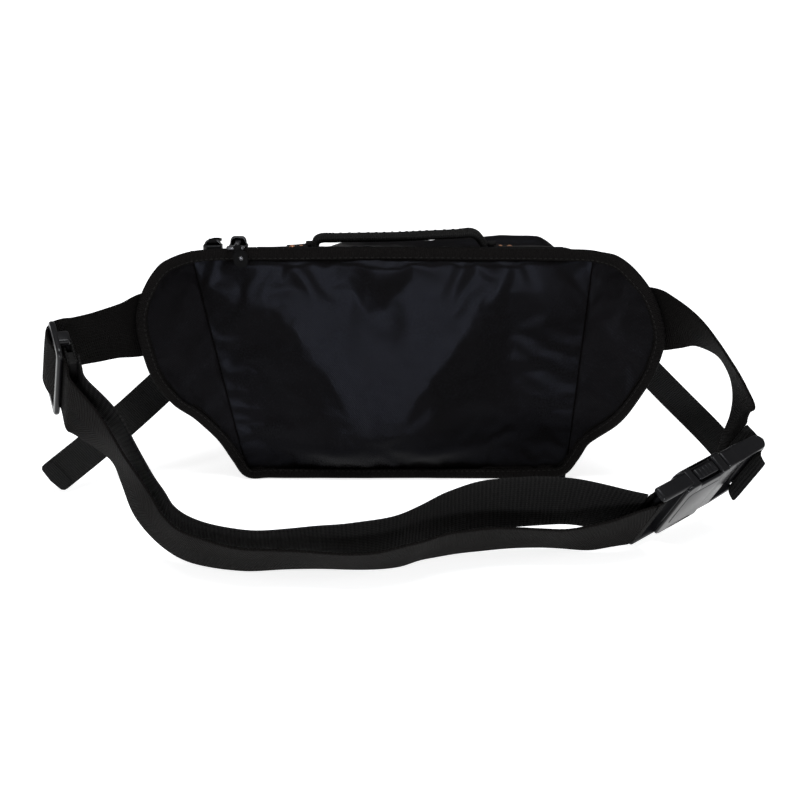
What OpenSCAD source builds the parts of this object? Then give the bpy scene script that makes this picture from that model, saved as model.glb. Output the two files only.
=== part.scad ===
// Waist pack lying ready to put on: padded body with side wings, split belt with a
// side release buckle and a slide adjuster, top zip with two sliders, front pocket.
// Millimetres. X runs along the pack, -Y is the side worn against the body, Z is up.
// The origin is on the floor under the middle of the base.

/* [Body] */
// Height of the back panel above the floor
back_height = 139; // [135:0.5:141]
// Half of the body depth, front to back
half_depth = 38; // [36:0.5:39]
// Thickness of the foam padded back panel
pad = 4; // [3:0.5:5]
// How far the padding swells out at its middle
pad_swell = 3; // [1:0.5:4]
// Thickness of the outer fabric with its lining
fabric = 1.6; // [1.2:0.1:1.8]
// Thickness of the padded wings
wing_thick = 4; // [3:0.5:5]
// Width of the binding tape around the back
binding_width = 6.8; // [6:0.2:7.4]
// Thickness of the bound edge
binding_thick = 4.6; // [4:0.2:5]

/* [Top zip] */
// Width of one half of the zip tape
tape_width = 5.4; // [5:0.2:5.8]
// Width of one half of the zip coil
coil_width = 1.8; // [1.4:0.1:2]
// Length of a zip slider
slider_length = 11; // [9:0.5:12]

/* [Belt] */
// Width of the belt webbing
belt_width = 38; // [36:0.5:38.5]
// Thickness of the belt webbing
belt_thick = 1.6; // [1.2:0.1:1.8]
// Width of the compression webbing
tail_width = 20; // [18:0.5:21]
// Width of the grab handle
handle_width = 10; // [8:0.5:11]

/* [Fittings] */
// Width of the side release buckle beside the belt, on each side
buckle_cheek = 4; // [3.8:0.1:5]
// Thickness of the side release buckle
buckle_thick = 12; // [11.5:0.5:13]
// Width of the slide adjuster beside the belt, on each side
adjuster_cheek = 5.5; // [5:0.25:6.5]
// Gap between pieces that move past each other
gap = 0.4; // [0.3:0.05:0.5]

/* [Hidden] */

$fn = 32;
nudge = 0.02;

// ---- vectors ----
function unit(v) = v / norm(v);
function square_to(v, t) = unit(v - (v * t) * t);
function mix(a, b, k) = a + (b - a) * k;
function at_z(x_low, x_high, z) = mix(x_low, x_high, (z - base_thick) / (back_height - base_thick));

// ---- curves through chosen points ----
function wrap(i, n, closed) = closed ? (i + n) % n : min(max(i, 0), n - 1);
function bend(a, b, c, d, k) =
    0.5 * (2 * b + (c - a) * k + (2 * a - 5 * b + 4 * c - d) * k * k + (3 * b - a - 3 * c + d) * k * k * k);
function curve(P, steps, closed = false) = let (n = len(P), last = closed ? n - 1 : n - 2)
    concat([for (i = [0:last]) for (k = [0:steps - 1])
        bend(P[wrap(i - 1, n, closed)], P[i], P[wrap(i + 1, n, closed)], P[wrap(i + 2, n, closed)], k / steps)],
        closed ? [] : [P[n - 1]]);
function place(row) = [row[0], row[1], row[2]];
function lean(row) = [row[3], row[4], row[5]];
function heading(C, i, closed = false) =
    unit(place(C[wrap(i + 1, len(C), closed)]) - place(C[wrap(i - 1, len(C), closed)]));

// a closed skin over rings of the same number of points
module skin(rings, closed = false) {
    n = len(rings);
    m = len(rings[0]);
    last = closed ? n - 1 : n - 2;
    sides = [for (i = [0:last]) for (j = [0:m - 1])
        let (a = i * m + j, b = i * m + (j + 1) % m, c = ((i + 1) % n) * m + j, d = ((i + 1) % n) * m + (j + 1) % m)
        each [[a, c, b], [b, c, d]]];
    caps = closed ? [] : [[for (j = [0:m - 1]) j], [for (j = [m - 1:-1:0]) (n - 1) * m + j]];
    polyhedron(points = [for (ring = rings) each ring], faces = concat(sides, caps), convexity = 6);
}

// flat webbing along rows of centre point and width direction
function webbing_ring(C, i, width, thick, side = 0) =
    let (t = heading(C, i), w = square_to(lean(C[i]), t), f = cross(t, w), p = place(C[i]) + f * side)
    [p - w * width / 2 - f * thick / 2, p + w * width / 2 - f * thick / 2,
     p + w * width / 2 + f * thick / 2, p - w * width / 2 + f * thick / 2];
module webbing(P, width, thick, steps = 4) {
    C = curve(P, steps);
    skin([for (i = [0:len(C) - 1]) webbing_ring(C, i, width, thick)]);
}

// cloth between an outer grid of points and an inner one
module cloth(outer, inner) {
    rows = len(outer);
    cols = len(outer[0]);
    count = rows * cols;
    function id(r, c, layer) = layer * count + r * cols + c;
    front = [for (r = [0:rows - 2]) for (c = [0:cols - 2])
        each [[id(r, c, 0), id(r, c + 1, 0), id(r + 1, c, 0)], [id(r, c + 1, 0), id(r + 1, c + 1, 0), id(r + 1, c, 0)]]];
    back = [for (r = [0:rows - 2]) for (c = [0:cols - 2])
        each [[id(r, c, 1), id(r + 1, c, 1), id(r, c + 1, 1)], [id(r, c + 1, 1), id(r + 1, c, 1), id(r + 1, c + 1, 1)]]];
    low = [for (c = [0:cols - 2]) each [[id(0, c, 0), id(0, c, 1), id(0, c + 1, 0)], [id(0, c + 1, 0), id(0, c, 1), id(0, c + 1, 1)]]];
    high = [for (c = [0:cols - 2]) let (r = rows - 1)
        each [[id(r, c, 0), id(r, c + 1, 0), id(r, c, 1)], [id(r, c + 1, 0), id(r, c + 1, 1), id(r, c, 1)]]];
    first = [for (r = [0:rows - 2]) each [[id(r, 0, 0), id(r + 1, 0, 0), id(r, 0, 1)], [id(r + 1, 0, 0), id(r + 1, 0, 1), id(r, 0, 1)]]];
    final = [for (r = [0:rows - 2]) let (c = cols - 1)
        each [[id(r, c, 0), id(r, c, 1), id(r + 1, c, 0)], [id(r + 1, c, 0), id(r, c, 1), id(r + 1, c, 1)]]];
    points = concat([for (row = outer) each row], [for (row = inner) each row]);
    polyhedron(points = points, faces = concat(front, back, low, high, first, final), convexity = 8);
}

module frame_at(o, along, across) {
    x = unit(along);
    y = square_to(across, x);
    z = cross(x, y);
    multmatrix([[x[0], y[0], z[0], o[0]], [x[1], y[1], z[1], o[1]], [x[2], y[2], z[2], o[2]], [0, 0, 0, 1]]) children();
}
function out_of(o, along, across, p) =
    let (x = unit(along), y = square_to(across, x), z = cross(x, y)) o + x * p[0] + y * p[1] + z * p[2];

module block(x0, x1, y0, y1, z0, z1) {
    translate([x0, y0, z0]) cube([x1 - x0, y1 - y0, z1 - z0]);
}

// ---- body outline ----
base_thick = 1.6;
drawn_height = 137;
height_share = back_height / drawn_height;
function to_height(P) = [for (q = P) [q[0], q[1], q[2] * height_share]];
back_y = -half_depth - 2;
inner_y = back_y + pad;
front_y = half_depth;
seam_low = [-92, 100];
seam_high = [-121, 112];
front_low = [-88, 92];
front_high = [-101, 101];
front_top = 115.8;
hinge_z = front_top + 2.4;
zip_z = back_height - 1;
zip_y = inner_y + 0.1 + tape_width + gap + coil_width;
tape_back = zip_y - coil_width - gap - tape_width;
lid_start = zip_y + coil_width + gap + tape_width;
lid_left = -84;
lid_right = 96;
lid_gap = 0.5;
top_profile = [[back_y, back_height + 1], [tape_back, zip_z], [lid_start, zip_z], [-14, zip_z - 2.8],
    [-8, zip_z - 3.6], [2, zip_z - 6], [15, zip_z - 10], [27, zip_z - 14], [front_y, hinge_z]];
function top_z(y) = lookup(y, top_profile);
function seam_x(side, z) = at_z(seam_low[side], seam_high[side], z);
function front_x(side, z) = mix(front_low[side], front_high[side], (z - base_thick) / (front_top - base_thick));
function swell(u, v) = sin(180 * u) * sin(180 * v);
function side_x(side, y, v) = let (k = (y - inner_y) / (front_y - inner_y))
    mix(seam_x(side, mix(base_thick, back_height, v)), front_x(side, mix(base_thick, front_top, v)), k);

module base_panel() {
    color("#17171a") linear_extrude(height = base_thick)
        polygon([[seam_low[0], back_y], [seam_low[1], back_y], [front_low[1], front_y], [front_low[0], front_y]]);
}

module back_panel() {
    us = [for (i = [0:14]) i / 14];
    vs = [for (j = [0:8]) j / 8];
    function p(u, v, y) = let (z = mix(base_thick, back_height, v)) [mix(seam_x(0, z), seam_x(1, z), u), y, z];
    color("#1d1e22") cloth([for (v = vs) [for (u = us) p(u, v, back_y - pad_swell * swell(u, v))]],
        [for (v = vs) [for (u = us) p(u, v, inner_y)]]);
}

// rims: the outer edge of each wing from the base to the top
left_rim = [[-96, -42, 9], [-107, -45, 25], [-120, -51, 41], [-132, -57, 52], [-142, -63, 68.5],
    [-147, -67, 87.5], [-149, -69, 107], [-144, -65, 122.5], [-136, -58, 133.5], [-125, -49, 137]];
right_rim = [[103, -42, 9], [111, -45.5, 22], [129, -54, 39], [139, -60, 56], [147, -65, 75],
    [150, -68, 95], [144, -65, 117], [133, -57, 131], [124, -50, 136.5], [117, -46, 137.5]];
seam_heights = [for (z = [6, 20, 36, 50, 66, 84, 102, 117, 128, 134.5]) z * height_share];

module wing(rim, side) {
    edge = to_height(rim);
    rows = curve([for (i = [0:len(edge) - 1]) concat(edge[i], [seam_heights[i]])], 2);
    cols = [0, 0.25, 0.5, 0.75, 1];
    function p(row, k, y) = let (z = row[3])
        [mix(seam_x(side, z), row[0], k), mix(back_y, row[1], k * (0.6 + 0.4 * k)) + y, mix(z, row[2], k)];
    outer = [for (row = rows) [for (k = cols) p(row, side == 0 ? 1 - k : k, 0)]];
    inner = [for (row = rows) [for (k = cols) p(row, side == 0 ? 1 - k : k, side == 0 ?
        mix(wing_thick, pad, k) : mix(pad, wing_thick, k))]];
    cloth(outer, inner);
}
module left_wing() { color("#1b1b1e") wing(left_rim, 0); }
module right_wing() { color("#1b1b1e") wing(right_rim, 1); }

// middle of the binding tape, once around the back
binding_path = [[-91, -41.5, 4.2], [-97.5, -42, 13], [-105.5, -44.5, 27], [-118.5, -51, 43], [-130, -57, 54],
    [-139.5, -63, 70], [-144, -67, 88], [-146, -69, 106], [-141.5, -65, 120.5], [-134.5, -58, 130.5],
    [-125, -49.5, 134.6], [-112, -43.5, 136], [-60, -41.8, 136.4], [0, -41.8, 136.8], [60, -41.8, 136.4],
    [103, -43, 136], [113, -45, 135.4], [123, -50.5, 133.4], [130.5, -57, 128], [141, -65, 115.5], [147, -68, 95],
    [144, -65, 76], [136.5, -60, 58.5], [126.5, -54, 42], [110, -45.5, 25.5], [104.5, -43, 15],
    [97.5, -41.8, 5.8], [85, -41.5, 4.2], [0, -41.8, 4], [-78, -41.5, 4]];
module back_binding() {
    C = curve(to_height(binding_path), 3, true);
    n = len(C);
    function ring(i) = let (t = heading(C, i, true), w = unit(cross(t, [0, 1, 0])), f = cross(w, t),
        a = w * binding_width / 2, b = f * binding_thick / 2) [C[i] - a - b, C[i] + a - b, C[i] + a + b, C[i] - a + b];
    color("#231f1e") skin([for (i = [0:n - 1]) ring(i)], true);
}

// ---- sides, front and pocket ----
module gusset(side) {
    ys = concat([inner_y, zip_y], [for (i = [0:len(lid_ys) - 2]) lid_ys[i]], [front_y - fabric]);
    vs = [0, 0.25, 0.5, 0.75, 0.92, 1];
    inward = side == 0 ? fabric : -fabric;
    function p(y, v, dx) = [side_x(side, y, v) + dx, y, mix(base_thick, top_z(y) - fabric - 0.2, v)];
    outer = [for (v = vs) [for (y = ys) p(y, v, 0)]];
    inner = [for (v = vs) [for (y = ys) p(y, v, inward)]];
    if (side == 0) cloth(inner, outer);
    else cloth(outer, inner);
}
module left_gusset() { color("#1a1a1d") gusset(0); }
module right_gusset() { color("#1a1a1d") gusset(1); }

module front_panel() {
    color("#1b1b1f") translate([0, front_y, 0]) rotate([90, 0, 0]) linear_extrude(height = fabric)
        polygon([[front_low[0], base_thick], [front_low[1], base_thick], [front_high[1], front_top], [front_high[0], front_top]]);
}

front_path = [[-76, 3.8], [-84.5, 5.4], [-87.4, 12], [-89, 25], [-92, 50], [-95.5, 78], [-98, 98], [-96.6, 108],
    [-89, 112], [-72, 112.6], [-40, 112.6], [40, 112.6], [72, 112.6], [89, 112], [96.6, 108], [98, 98], [96, 78],
    [94.5, 50], [92.6, 25], [91, 12], [88.5, 5.4], [80, 3.8], [62, 3.6], [0, 3.6], [-60, 3.6]];
module front_binding() {
    P = [for (q = front_path) [q[0], front_y + 1.6, q[1]]];
    C = curve(P, 3, true);
    n = len(C);
    function ring(i) = let (t = heading(C, i, true), w = unit(cross(t, [0, 1, 0])), f = cross(w, t),
        a = w * 2.6, b = f * 1.5) [C[i] - a - b, C[i] + a - b, C[i] + a + b, C[i] - a + b];
    color("#231f1e") skin([for (i = [0:n - 1]) ring(i)], true);
}

pocket_half = 82;
pocket_flat = 66;
pocket_low = 14;
pocket_high = 104;
pocket_bulge = 10;
pocket_zip_z = 82;
pocket_zip_half = pocket_flat - 4;
pocket_tape_half = 6;
pocket_coil_half = 1.6;
function ease(k) = let (q = min(max(k, 0), 1)) q * q * (3 - 2 * q);
function pocket_y(x, z) = front_y + fabric + 0.4 + pocket_bulge
    * ease((pocket_half - abs(x)) / (pocket_half - pocket_flat))
    * ease((z - pocket_low) / 16) * ease((pocket_high - z) / 14);
pocket_xs = [-82, -78, -74, -70, -66, -44, -22, 0, 22, 44, 66, 70, 74, 78, 82];
pocket_zs = [14, 18, 22, 26, 30, 50, 70, 82, 90, 94, 97, 101, 104];
module front_pocket() {
    color("#1b1b1f") cloth([for (z = pocket_zs) [for (x = pocket_xs) [-x, pocket_y(x, z) + fabric, z]]],
        [for (z = pocket_zs) [for (x = pocket_xs) [-x, pocket_y(x, z), z]]]);
}
pocket_face = front_y + fabric + 0.4 + pocket_bulge + fabric;
module pocket_zip() {
    color("#141416") union() {
        block(-pocket_zip_half, pocket_zip_half, pocket_face, pocket_face + 0.7,
            pocket_zip_z - pocket_tape_half, pocket_zip_z + pocket_tape_half);
        block(2 - pocket_zip_half, pocket_zip_half - 2, pocket_face + 0.6, pocket_face + 1.8,
            pocket_zip_z - pocket_coil_half, pocket_zip_z + pocket_coil_half);
    }
}
pocket_slider_x = 12 - pocket_zip_half;
pocket_slider_y = pocket_face + 1.8 + gap;
module pocket_slider() {
    color("#3a3a3e") translate([pocket_slider_x, pocket_slider_y, pocket_zip_z]) union() {
        block(-5, 5, 0, 1.5, -4, 4);
        block(2.4, 4, 1.4, 5, -1.4, 1.4);
        block(-4, -2.4, 1.4, 5, -1.4, 1.4);
        translate([-4, 4.2, 0]) rotate([0, 90, 0]) cylinder(h = 8, d = 1.4);
    }
}
module pocket_pull() {
    color("#26262a") translate([pocket_slider_x, pocket_slider_y + 4.2, pocket_zip_z]) difference() {
        union() {
            rotate([0, 90, 0]) translate([0, 0, -2]) cylinder(h = 4, d = 3.2);
            block(-2, 2, -0.8, 0.8, -6, 0);
            block(-3.2, 3.2, -0.9, 0.9, -24, -5.8);
        }
        rotate([0, 90, 0]) translate([0, 0, -3]) cylinder(h = 6, d = 1.4 + gap);
    }
}

// ---- top: rear strip, zip, lid ----
zip_left = seam_high[0] + 3;
zip_right = seam_high[1] - 3;
function top_rows(y0, y1, count) = [for (i = [0:count]) mix(y0, y1, i / count)];
module top_sheet(ys, x_left, x_right, thick, lift = 0) {
    ks = [0, 0.12, 0.3, 0.5, 0.7, 0.88, 1];
    cloth([for (y = ys) [for (k = ks) [mix(x_left, x_right, k), y, top_z(y) + lift]]],
        [for (y = ys) [for (k = ks) [mix(x_left, x_right, k), y, top_z(y) + lift - thick]]]);
}
module top_rear_strip() {
    color("#1a1a1d") top_sheet([back_y, tape_back], seam_high[0], seam_high[1], fabric);
}
module rear_zip_tape() {
    color("#141416") top_sheet([tape_back + nudge, zip_y - coil_width - gap / 2], zip_left, zip_right, 0.9);
}
module coil(x0, x1, y0) {
    block(x0, x1, y0, y0 + coil_width, zip_z - 1, zip_z + 1.1);
}
module rear_coil() { color("#101012") coil(zip_left + 1, zip_right - 1, zip_y - coil_width - gap / 2); }
module zip_stop(x) {
    color("#2e2e31") block(x - 1, x + 1, zip_y - coil_width - gap / 2, zip_y + gap / 2, zip_z + 1.2, zip_z + 2);
}
module zip_stop_left() { zip_stop(zip_left + 1.2); }
module zip_stop_right() { zip_stop(zip_right - 3); }

lid_ys = [lid_start, -14, -8, 2, 8, 15, 21, 27, 32, front_y - 0.3];
function edge_x(side, y) = side_x(side, y, 1);
module top_end(side) {
    ys = concat([zip_y + gap / 2], lid_ys);
    cut = side == 0 ? lid_left - lid_gap : lid_right + lid_gap;
    outer = [for (y = ys) let (e = edge_x(side, y)) [for (k = [0, 0.5, 1])
        [side == 0 ? mix(e, cut, k) : mix(cut, e, k), y, top_z(y)]]];
    inner = [for (row = outer) [for (q = row) q - [0, 0, fabric]]];
    cloth(outer, inner);
}
module top_end_left() { color("#1a1a1d") top_end(0); }
module top_end_right() { color("#1a1a1d") top_end(1); }
module top_lid() { color("#1b1b1e") top_sheet(lid_ys, lid_left, lid_right, fabric); }
module lid_zip_tape() {
    color("#141416") top_sheet([zip_y + gap / 2 + coil_width, lid_start - nudge], lid_left, lid_right, 0.9);
}
module lid_coil() { color("#101012") coil(lid_left, lid_right, zip_y + gap / 2); }

handle_y = -8;
handle_left = -49;
handle_right = 50;
lid_z = top_z(handle_y);
foot_d = 2.4;
pivot_z = lid_z + foot_d / 2 + 1.4;
module handle_anchor(x0, x1) {
    color("#17171a") difference() {
        union() {
            translate([x0, handle_y, pivot_z]) rotate([0, 90, 0]) cylinder(h = x1 - x0, d = foot_d + 2.4);
            block(x0, x1, handle_y - 5, handle_y + 5, lid_z - 0.8, lid_z + 0.8);
        }
        translate([x0 - 1, handle_y, pivot_z]) rotate([0, 90, 0]) cylinder(h = x1 - x0 + 2, d = foot_d + gap);
    }
}
module handle_anchor_left() { handle_anchor(handle_left - 7, handle_left - 2.4); }
module handle_anchor_right() { handle_anchor(handle_right + 2.4, handle_right + 7); }
module rivet_pair(x) {
    color("#8a5a3c") for (side = [-1, 1])
        translate([x + side * 2.8, handle_y, lid_z - 1]) cylinder(h = 1.9, d = 4.2);
}
module rivets_left() { rivet_pair(handle_left - 12.5); }
module rivets_right() { rivet_pair(handle_right + 12.5); }

handle_rise = 6.6;
module handle() {
    bar = 2.4;
    x0 = handle_left - 7.2;
    x1 = handle_right + 7.2;
    color("#131315") union() {
        translate([x0, handle_y, pivot_z]) rotate([0, 90, 0]) cylinder(h = 9, d = foot_d);
        translate([x1 - 9, handle_y, pivot_z]) rotate([0, 90, 0]) cylinder(h = 9, d = foot_d);
        for (x = [handle_left, handle_right - bar]) {
            block(x, x + bar, handle_y - 1.8, handle_y + 1.8, pivot_z - 0.6, pivot_z + 3);
            block(x, x + bar, handle_y - handle_width / 2, handle_y + handle_width / 2, pivot_z + 2.8, pivot_z + handle_rise);
        }
        block(handle_left, handle_right, handle_y - handle_width / 2, handle_y + handle_width / 2, pivot_z + handle_rise - bar, pivot_z + handle_rise);
    }
}

// ---- zip sliders and pulls ----
slider_z = zip_z + 1.1 + gap;
slider_a_x = -94;
slider_b_x = -109;
eye_z = slider_z + 3.4;
module slider(x) {
    half = slider_length / 2;
    color("#3a3a3e") translate([x, zip_y, slider_z]) union() {
        block(-half, half, -4.4, 4.4, 0, 1.5);
        for (end = [-1, 1]) block(end * 3.6 - 0.8, end * 3.6 + 0.8, -1.2, 1.2, 1.4, 4.6);
        translate([-3.6, 0, 3.4]) rotate([0, 90, 0]) cylinder(h = 7.2, d = 1.4);
    }
}
module slider_a() { slider(slider_a_x); }
module slider_b() { slider(slider_b_x); }

tab_y = -47.6;
ring_half = 4.4;
module pull_ring_a() {
    reach = zip_y - tab_y;
    color("#55565a") translate([slider_a_x, zip_y, eye_z]) difference() {
        union() {
            translate([-2.4, 0, 0]) rotate([0, 90, 0]) cylinder(h = 4.8, d = 3.2);
            block(-1.2, 1.2, -reach + 3.6, -1, -0.7, 0.7);
            block(-ring_half, ring_half, -reach + 2.4, -reach + 3.8, -0.7, 0.7);
            for (end = [-1, 1]) block(end * ring_half - 0.7, end * ring_half + 0.7, -reach - 0.7, -reach + 3.8, -0.7, 0.7);
            translate([-ring_half, -reach, 0]) rotate([0, 90, 0]) cylinder(h = ring_half * 2, d = 1.4);
        }
        translate([-3, 0, 0]) rotate([0, 90, 0]) cylinder(h = 6, d = 1.4 + gap);
    }
}
module pull_tab_a() {
    color("#2a2a2e") translate([slider_a_x, tab_y, eye_z]) difference() {
        union() {
            translate([-2.8, 0, 0]) rotate([0, 90, 0]) cylinder(h = 5.6, d = 3.2);
            block(-2.8, 2.8, -0.8, 0.8, -3, 0);
            block(-4.4, 4.4, -0.8, 0.8, -13, -2.4);
        }
        translate([-4, 0, 0]) rotate([0, 90, 0]) cylinder(h = 8, d = 1.4 + gap);
    }
}
// the second pull lies forward on the top
pull_b_droop = 9;
module pull_b() {
    color("#2a2a2e") translate([slider_b_x, zip_y, eye_z]) rotate([-pull_b_droop, 0, 0]) difference() {
        union() {
            translate([-2.4, 0, 0]) rotate([0, 90, 0]) cylinder(h = 4.8, d = 3.2);
            block(-1.6, 1.6, 1, 8, -0.8, 0.8);
            block(-2.8, 2.8, 7.8, 22, -0.8, 0.8);
        }
        translate([-3, 0, 0]) rotate([0, 90, 0]) cylinder(h = 6, d = 1.4 + gap);
    }
}

// ---- belt: slide adjuster, its strap and the two layers to the buckle ----
adjuster_at = [-179, -135, 98];
adjuster_along = [0.32, -0.8, -0.52];
adjuster_across = [0.2, -0.48, 0.854];
function on_adjuster(s, n = 0) = concat(out_of(adjuster_at, adjuster_along, adjuster_across, [s, 0, n]), adjuster_across);
outer_path = [[-125, -41.5, 101, 0, 0, 1], [-138, -52, 101, 0, 0, 1], [-149, -63.5, 101.5, 0.08, -0.1, 1],
    [-157, -78, 102.5, 0.15, -0.35, 0.93], [-167, -95, 103.5, 0.15, -0.45, 0.87], [-176.5, -110, 105, 0.18, -0.48, 0.86],
    on_adjuster(-18), on_adjuster(-15), on_adjuster(22.5), on_adjuster(25.5),
    [-161, -160.5, 75.5, 0.5, -0.68, 0.52], [-152.5, -162, 67, 0.42, -0.8, 0.44], [-145, -163, 57.5, 0.35, -0.87, 0.38],
    [-139, -165, 46, 0.4, -0.82, 0.41], [-133, -168, 33.5, 0.36, -0.72, 0.59], [-122, -176, 22.5, 0.17, -0.67, 0.72],
    [-108, -183, 16.5, 0, -0.67, 0.74], [-83, -189, 13.5, 0, -0.75, 0.66], [-50, -189, 12.5, 0, -0.8, 0.6],
    [-15, -191, 12.5, 0.08, -0.81, 0.58], [2, -186, 13.5, 0.22, -0.73, 0.65], [18, -175, 13.7, 0.26, -0.7, 0.66],
    [36, -168, 13.6, 0.2, -0.73, 0.65], [60, -163, 13.2, 0.1, -0.77, 0.63], [86, -162.5, 12.7, 0, -0.8, 0.6],
    [104, -165, 15.5, 0.1, -0.7, 0.7], [117, -163.5, 18.5, 0.22, -0.6, 0.76], [127.6, -160.4, 20.1, 0.29, -0.54, 0.79]];
return_path = [on_adjuster(26, -8), [-152, -150, 73, 0.45, -0.72, 0.53], [-143, -153, 61, 0.38, -0.83, 0.4],
    [-135.5, -157, 47, 0.42, -0.8, 0.42], [-128.5, -161.5, 35, 0.36, -0.72, 0.59], [-118, -169, 25.5, 0.17, -0.67, 0.72],
    [-104, -175, 20.5, 0.05, -0.7, 0.72], [-82, -179.5, 18, 0.05, -0.73, 0.68], [-50, -177, 17, 0, -0.7, 0.71],
    [-25, -175.5, 17, 0, -0.62, 0.78], [-5, -172, 18, 0.05, -0.58, 0.81], [11, -162.5, 20.5, 0.03, -0.55, 0.83],
    [26, -157.5, 25, -0.02, -0.5, 0.86], [43, -154, 28, -0.02, -0.44, 0.9], [65, -151.5, 29, 0.01, -0.43, 0.9],
    [87, -150.5, 29, 0.06, -0.48, 0.87], [104, -151, 26.5, 0.15, -0.52, 0.84], [115, -153.5, 25, 0.25, -0.53, 0.8],
    [123.7, -156.6, 24.2, 0.29, -0.54, 0.79]];
module belt_outer_layer() { color("#29282a") webbing(outer_path, belt_width, belt_thick, 4); }
module belt_return_layer() { color("#232325") webbing(return_path, belt_width, belt_thick, 4); }

// the frame has two outer bars on one side of the strap and a middle bar on the other
adjuster_width = belt_width + 2 * adjuster_cheek;
bar_thick = 2.2;
ply = 1.3;
loop_top = -belt_thick / 2 - 0.3;
middle_top = loop_top - ply - 0.3;
middle_low = middle_top - bar_thick;
outer_low = belt_thick / 2 + gap;
module adjuster_frame() {
    half = adjuster_width / 2;
    open = belt_width / 2 + 0.8;
    color("#1c1c20") frame_at(adjuster_at, adjuster_along, adjuster_across) union() {
        for (end = [-1, 1]) block(end * 11.2 - 2.4, end * 11.2 + 2.4, -half + 2, half - 2, outer_low, outer_low + bar_thick);
        block(-2.4, 2.4, -half + 2, half - 2, middle_low, middle_top);
        for (end = [-1, 1]) block(-13.6, 13.6, end * (half + open) / 2 - (half - open) / 2,
            end * (half + open) / 2 + (half - open) / 2, middle_low, outer_low + bar_thick);
    }
}
// the sewn end of the return layer, folded around the middle bar
module adjuster_loop() {
    half = belt_width / 2;
    low = middle_low - 0.3;
    color("#232325") frame_at(adjuster_at, adjuster_along, adjuster_across) union() {
        block(-2.8 - ply, 15, -half, half, loop_top - ply, loop_top);
        block(-2.8 - ply, -2.8, -half, half, low - ply, loop_top);
        block(-2.8 - ply, 15, -half, half, low - ply, low);
        block(6, 15, -half, half, low - nudge, loop_top - ply + nudge);
    }
}

// ---- side release buckle, along its own axis from the female bar ----
buckle_at = [130, -155, 23];
buckle_along = [0.77, 0.62, 0.15];
buckle_across = [0.29, -0.54, 0.79];
buckle_width = belt_width + 2 * buckle_cheek;
female_end = 47;
male_start = female_end + gap;
male_end = 80;
cavity_half = buckle_width / 2 - 4;
cavity_rise = 3.8;
bar_d = 4.6;
module buckle_frame() { frame_at(buckle_at, buckle_along, buckle_across) children(); }
module buckle_female() {
    half = buckle_width / 2;
    rise = buckle_thick / 2;
    color("#17171b") buckle_frame() difference() {
        union() {
            for (end = [-1, 1]) block(-2, 10, end * (half - 1.7) - 1.7, end * (half - 1.7) + 1.7, -rise + 2, rise - 2);
            translate([0, half - 0.2, 0]) rotate([90, 0, 0]) cylinder(h = buckle_width - 0.4, d = bar_d);
            block(8.4, female_end, -half, half, -rise, rise);
        }
        block(14, female_end + 1, -cavity_half, cavity_half, -cavity_rise, cavity_rise);
        block(24, 41, -half - 1, half + 1, -cavity_rise, cavity_rise);
    }
}
// the belt passes round the female bar and joins its two layers
module belt_buckle_loop() {
    inner_r = bar_d / 2 + 0.3;
    outer_r = inner_r + belt_thick;
    half = belt_width / 2;
    color("#29282a") buckle_frame() union() {
        translate([0, half, 0]) rotate([90, 0, 0]) difference() {
            cylinder(h = belt_width, r = outer_r);
            translate([0, 0, -1]) cylinder(h = belt_width + 2, r = inner_r);
            translate([-20, -20, -1]) cube([20, 40, belt_width + 2]);
        }
        for (end = [-1, 1]) block(-5, nudge, -half, half, end * (inner_r + belt_thick / 2) - belt_thick / 2,
            end * (inner_r + belt_thick / 2) + belt_thick / 2);
    }
}
latch_root = 50;
latch_y = cavity_half - 6;
module buckle_male() {
    half = buckle_width / 2 - 0.4;
    rise = buckle_thick / 2 - 0.8;
    color("#17171b") buckle_frame() union() {
        difference() {
            block(male_start, male_end - bar_d / 2, -half, half, -rise, rise);
            block(58, male_end, -half + 3.2, half - 3.2, -rise - 1, rise + 1);
            for (end = [-1, 1]) translate([latch_root, end * latch_y, -cavity_rise]) cylinder(h = cavity_rise * 2, r = 3.4);
            for (end = [-1, 1]) block(male_start - 1, latch_root, end * latch_y - 3.4, end * latch_y + 3.4, -cavity_rise, cavity_rise);
        }
        translate([male_end - bar_d / 2, half, 0]) rotate([90, 0, 0]) cylinder(h = half * 2, d = bar_d);
        for (end = [-1, 1]) translate([latch_root, end * latch_y, -rise]) cylinder(h = rise * 2, r = 1);
        block(17, male_start + 1, -3.4, 3.4, -cavity_rise + gap, cavity_rise - gap);
    }
}
module latch(end) {
    rise = cavity_rise - gap;
    color("#1b1b20") buckle_frame() difference() {
        union() {
            translate([latch_root, end * latch_y, -rise]) cylinder(h = rise * 2, r = 2.8);
            block(22, latch_root, end * (latch_y + 0.4) - 1.6, end * (latch_y + 0.4) + 1.6, -rise, rise);
            block(25, 39.6, end * (latch_y + 5.2) - 4.4, end * (latch_y + 5.2) + 4.4, -rise, rise);
        }
        translate([latch_root, end * latch_y, -rise - 1]) cylinder(h = rise * 2 + 2, r = 1 + gap / 2);
    }
}
module buckle_latch_near() { latch(-1); }
module buckle_latch_far() { latch(1); }

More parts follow.
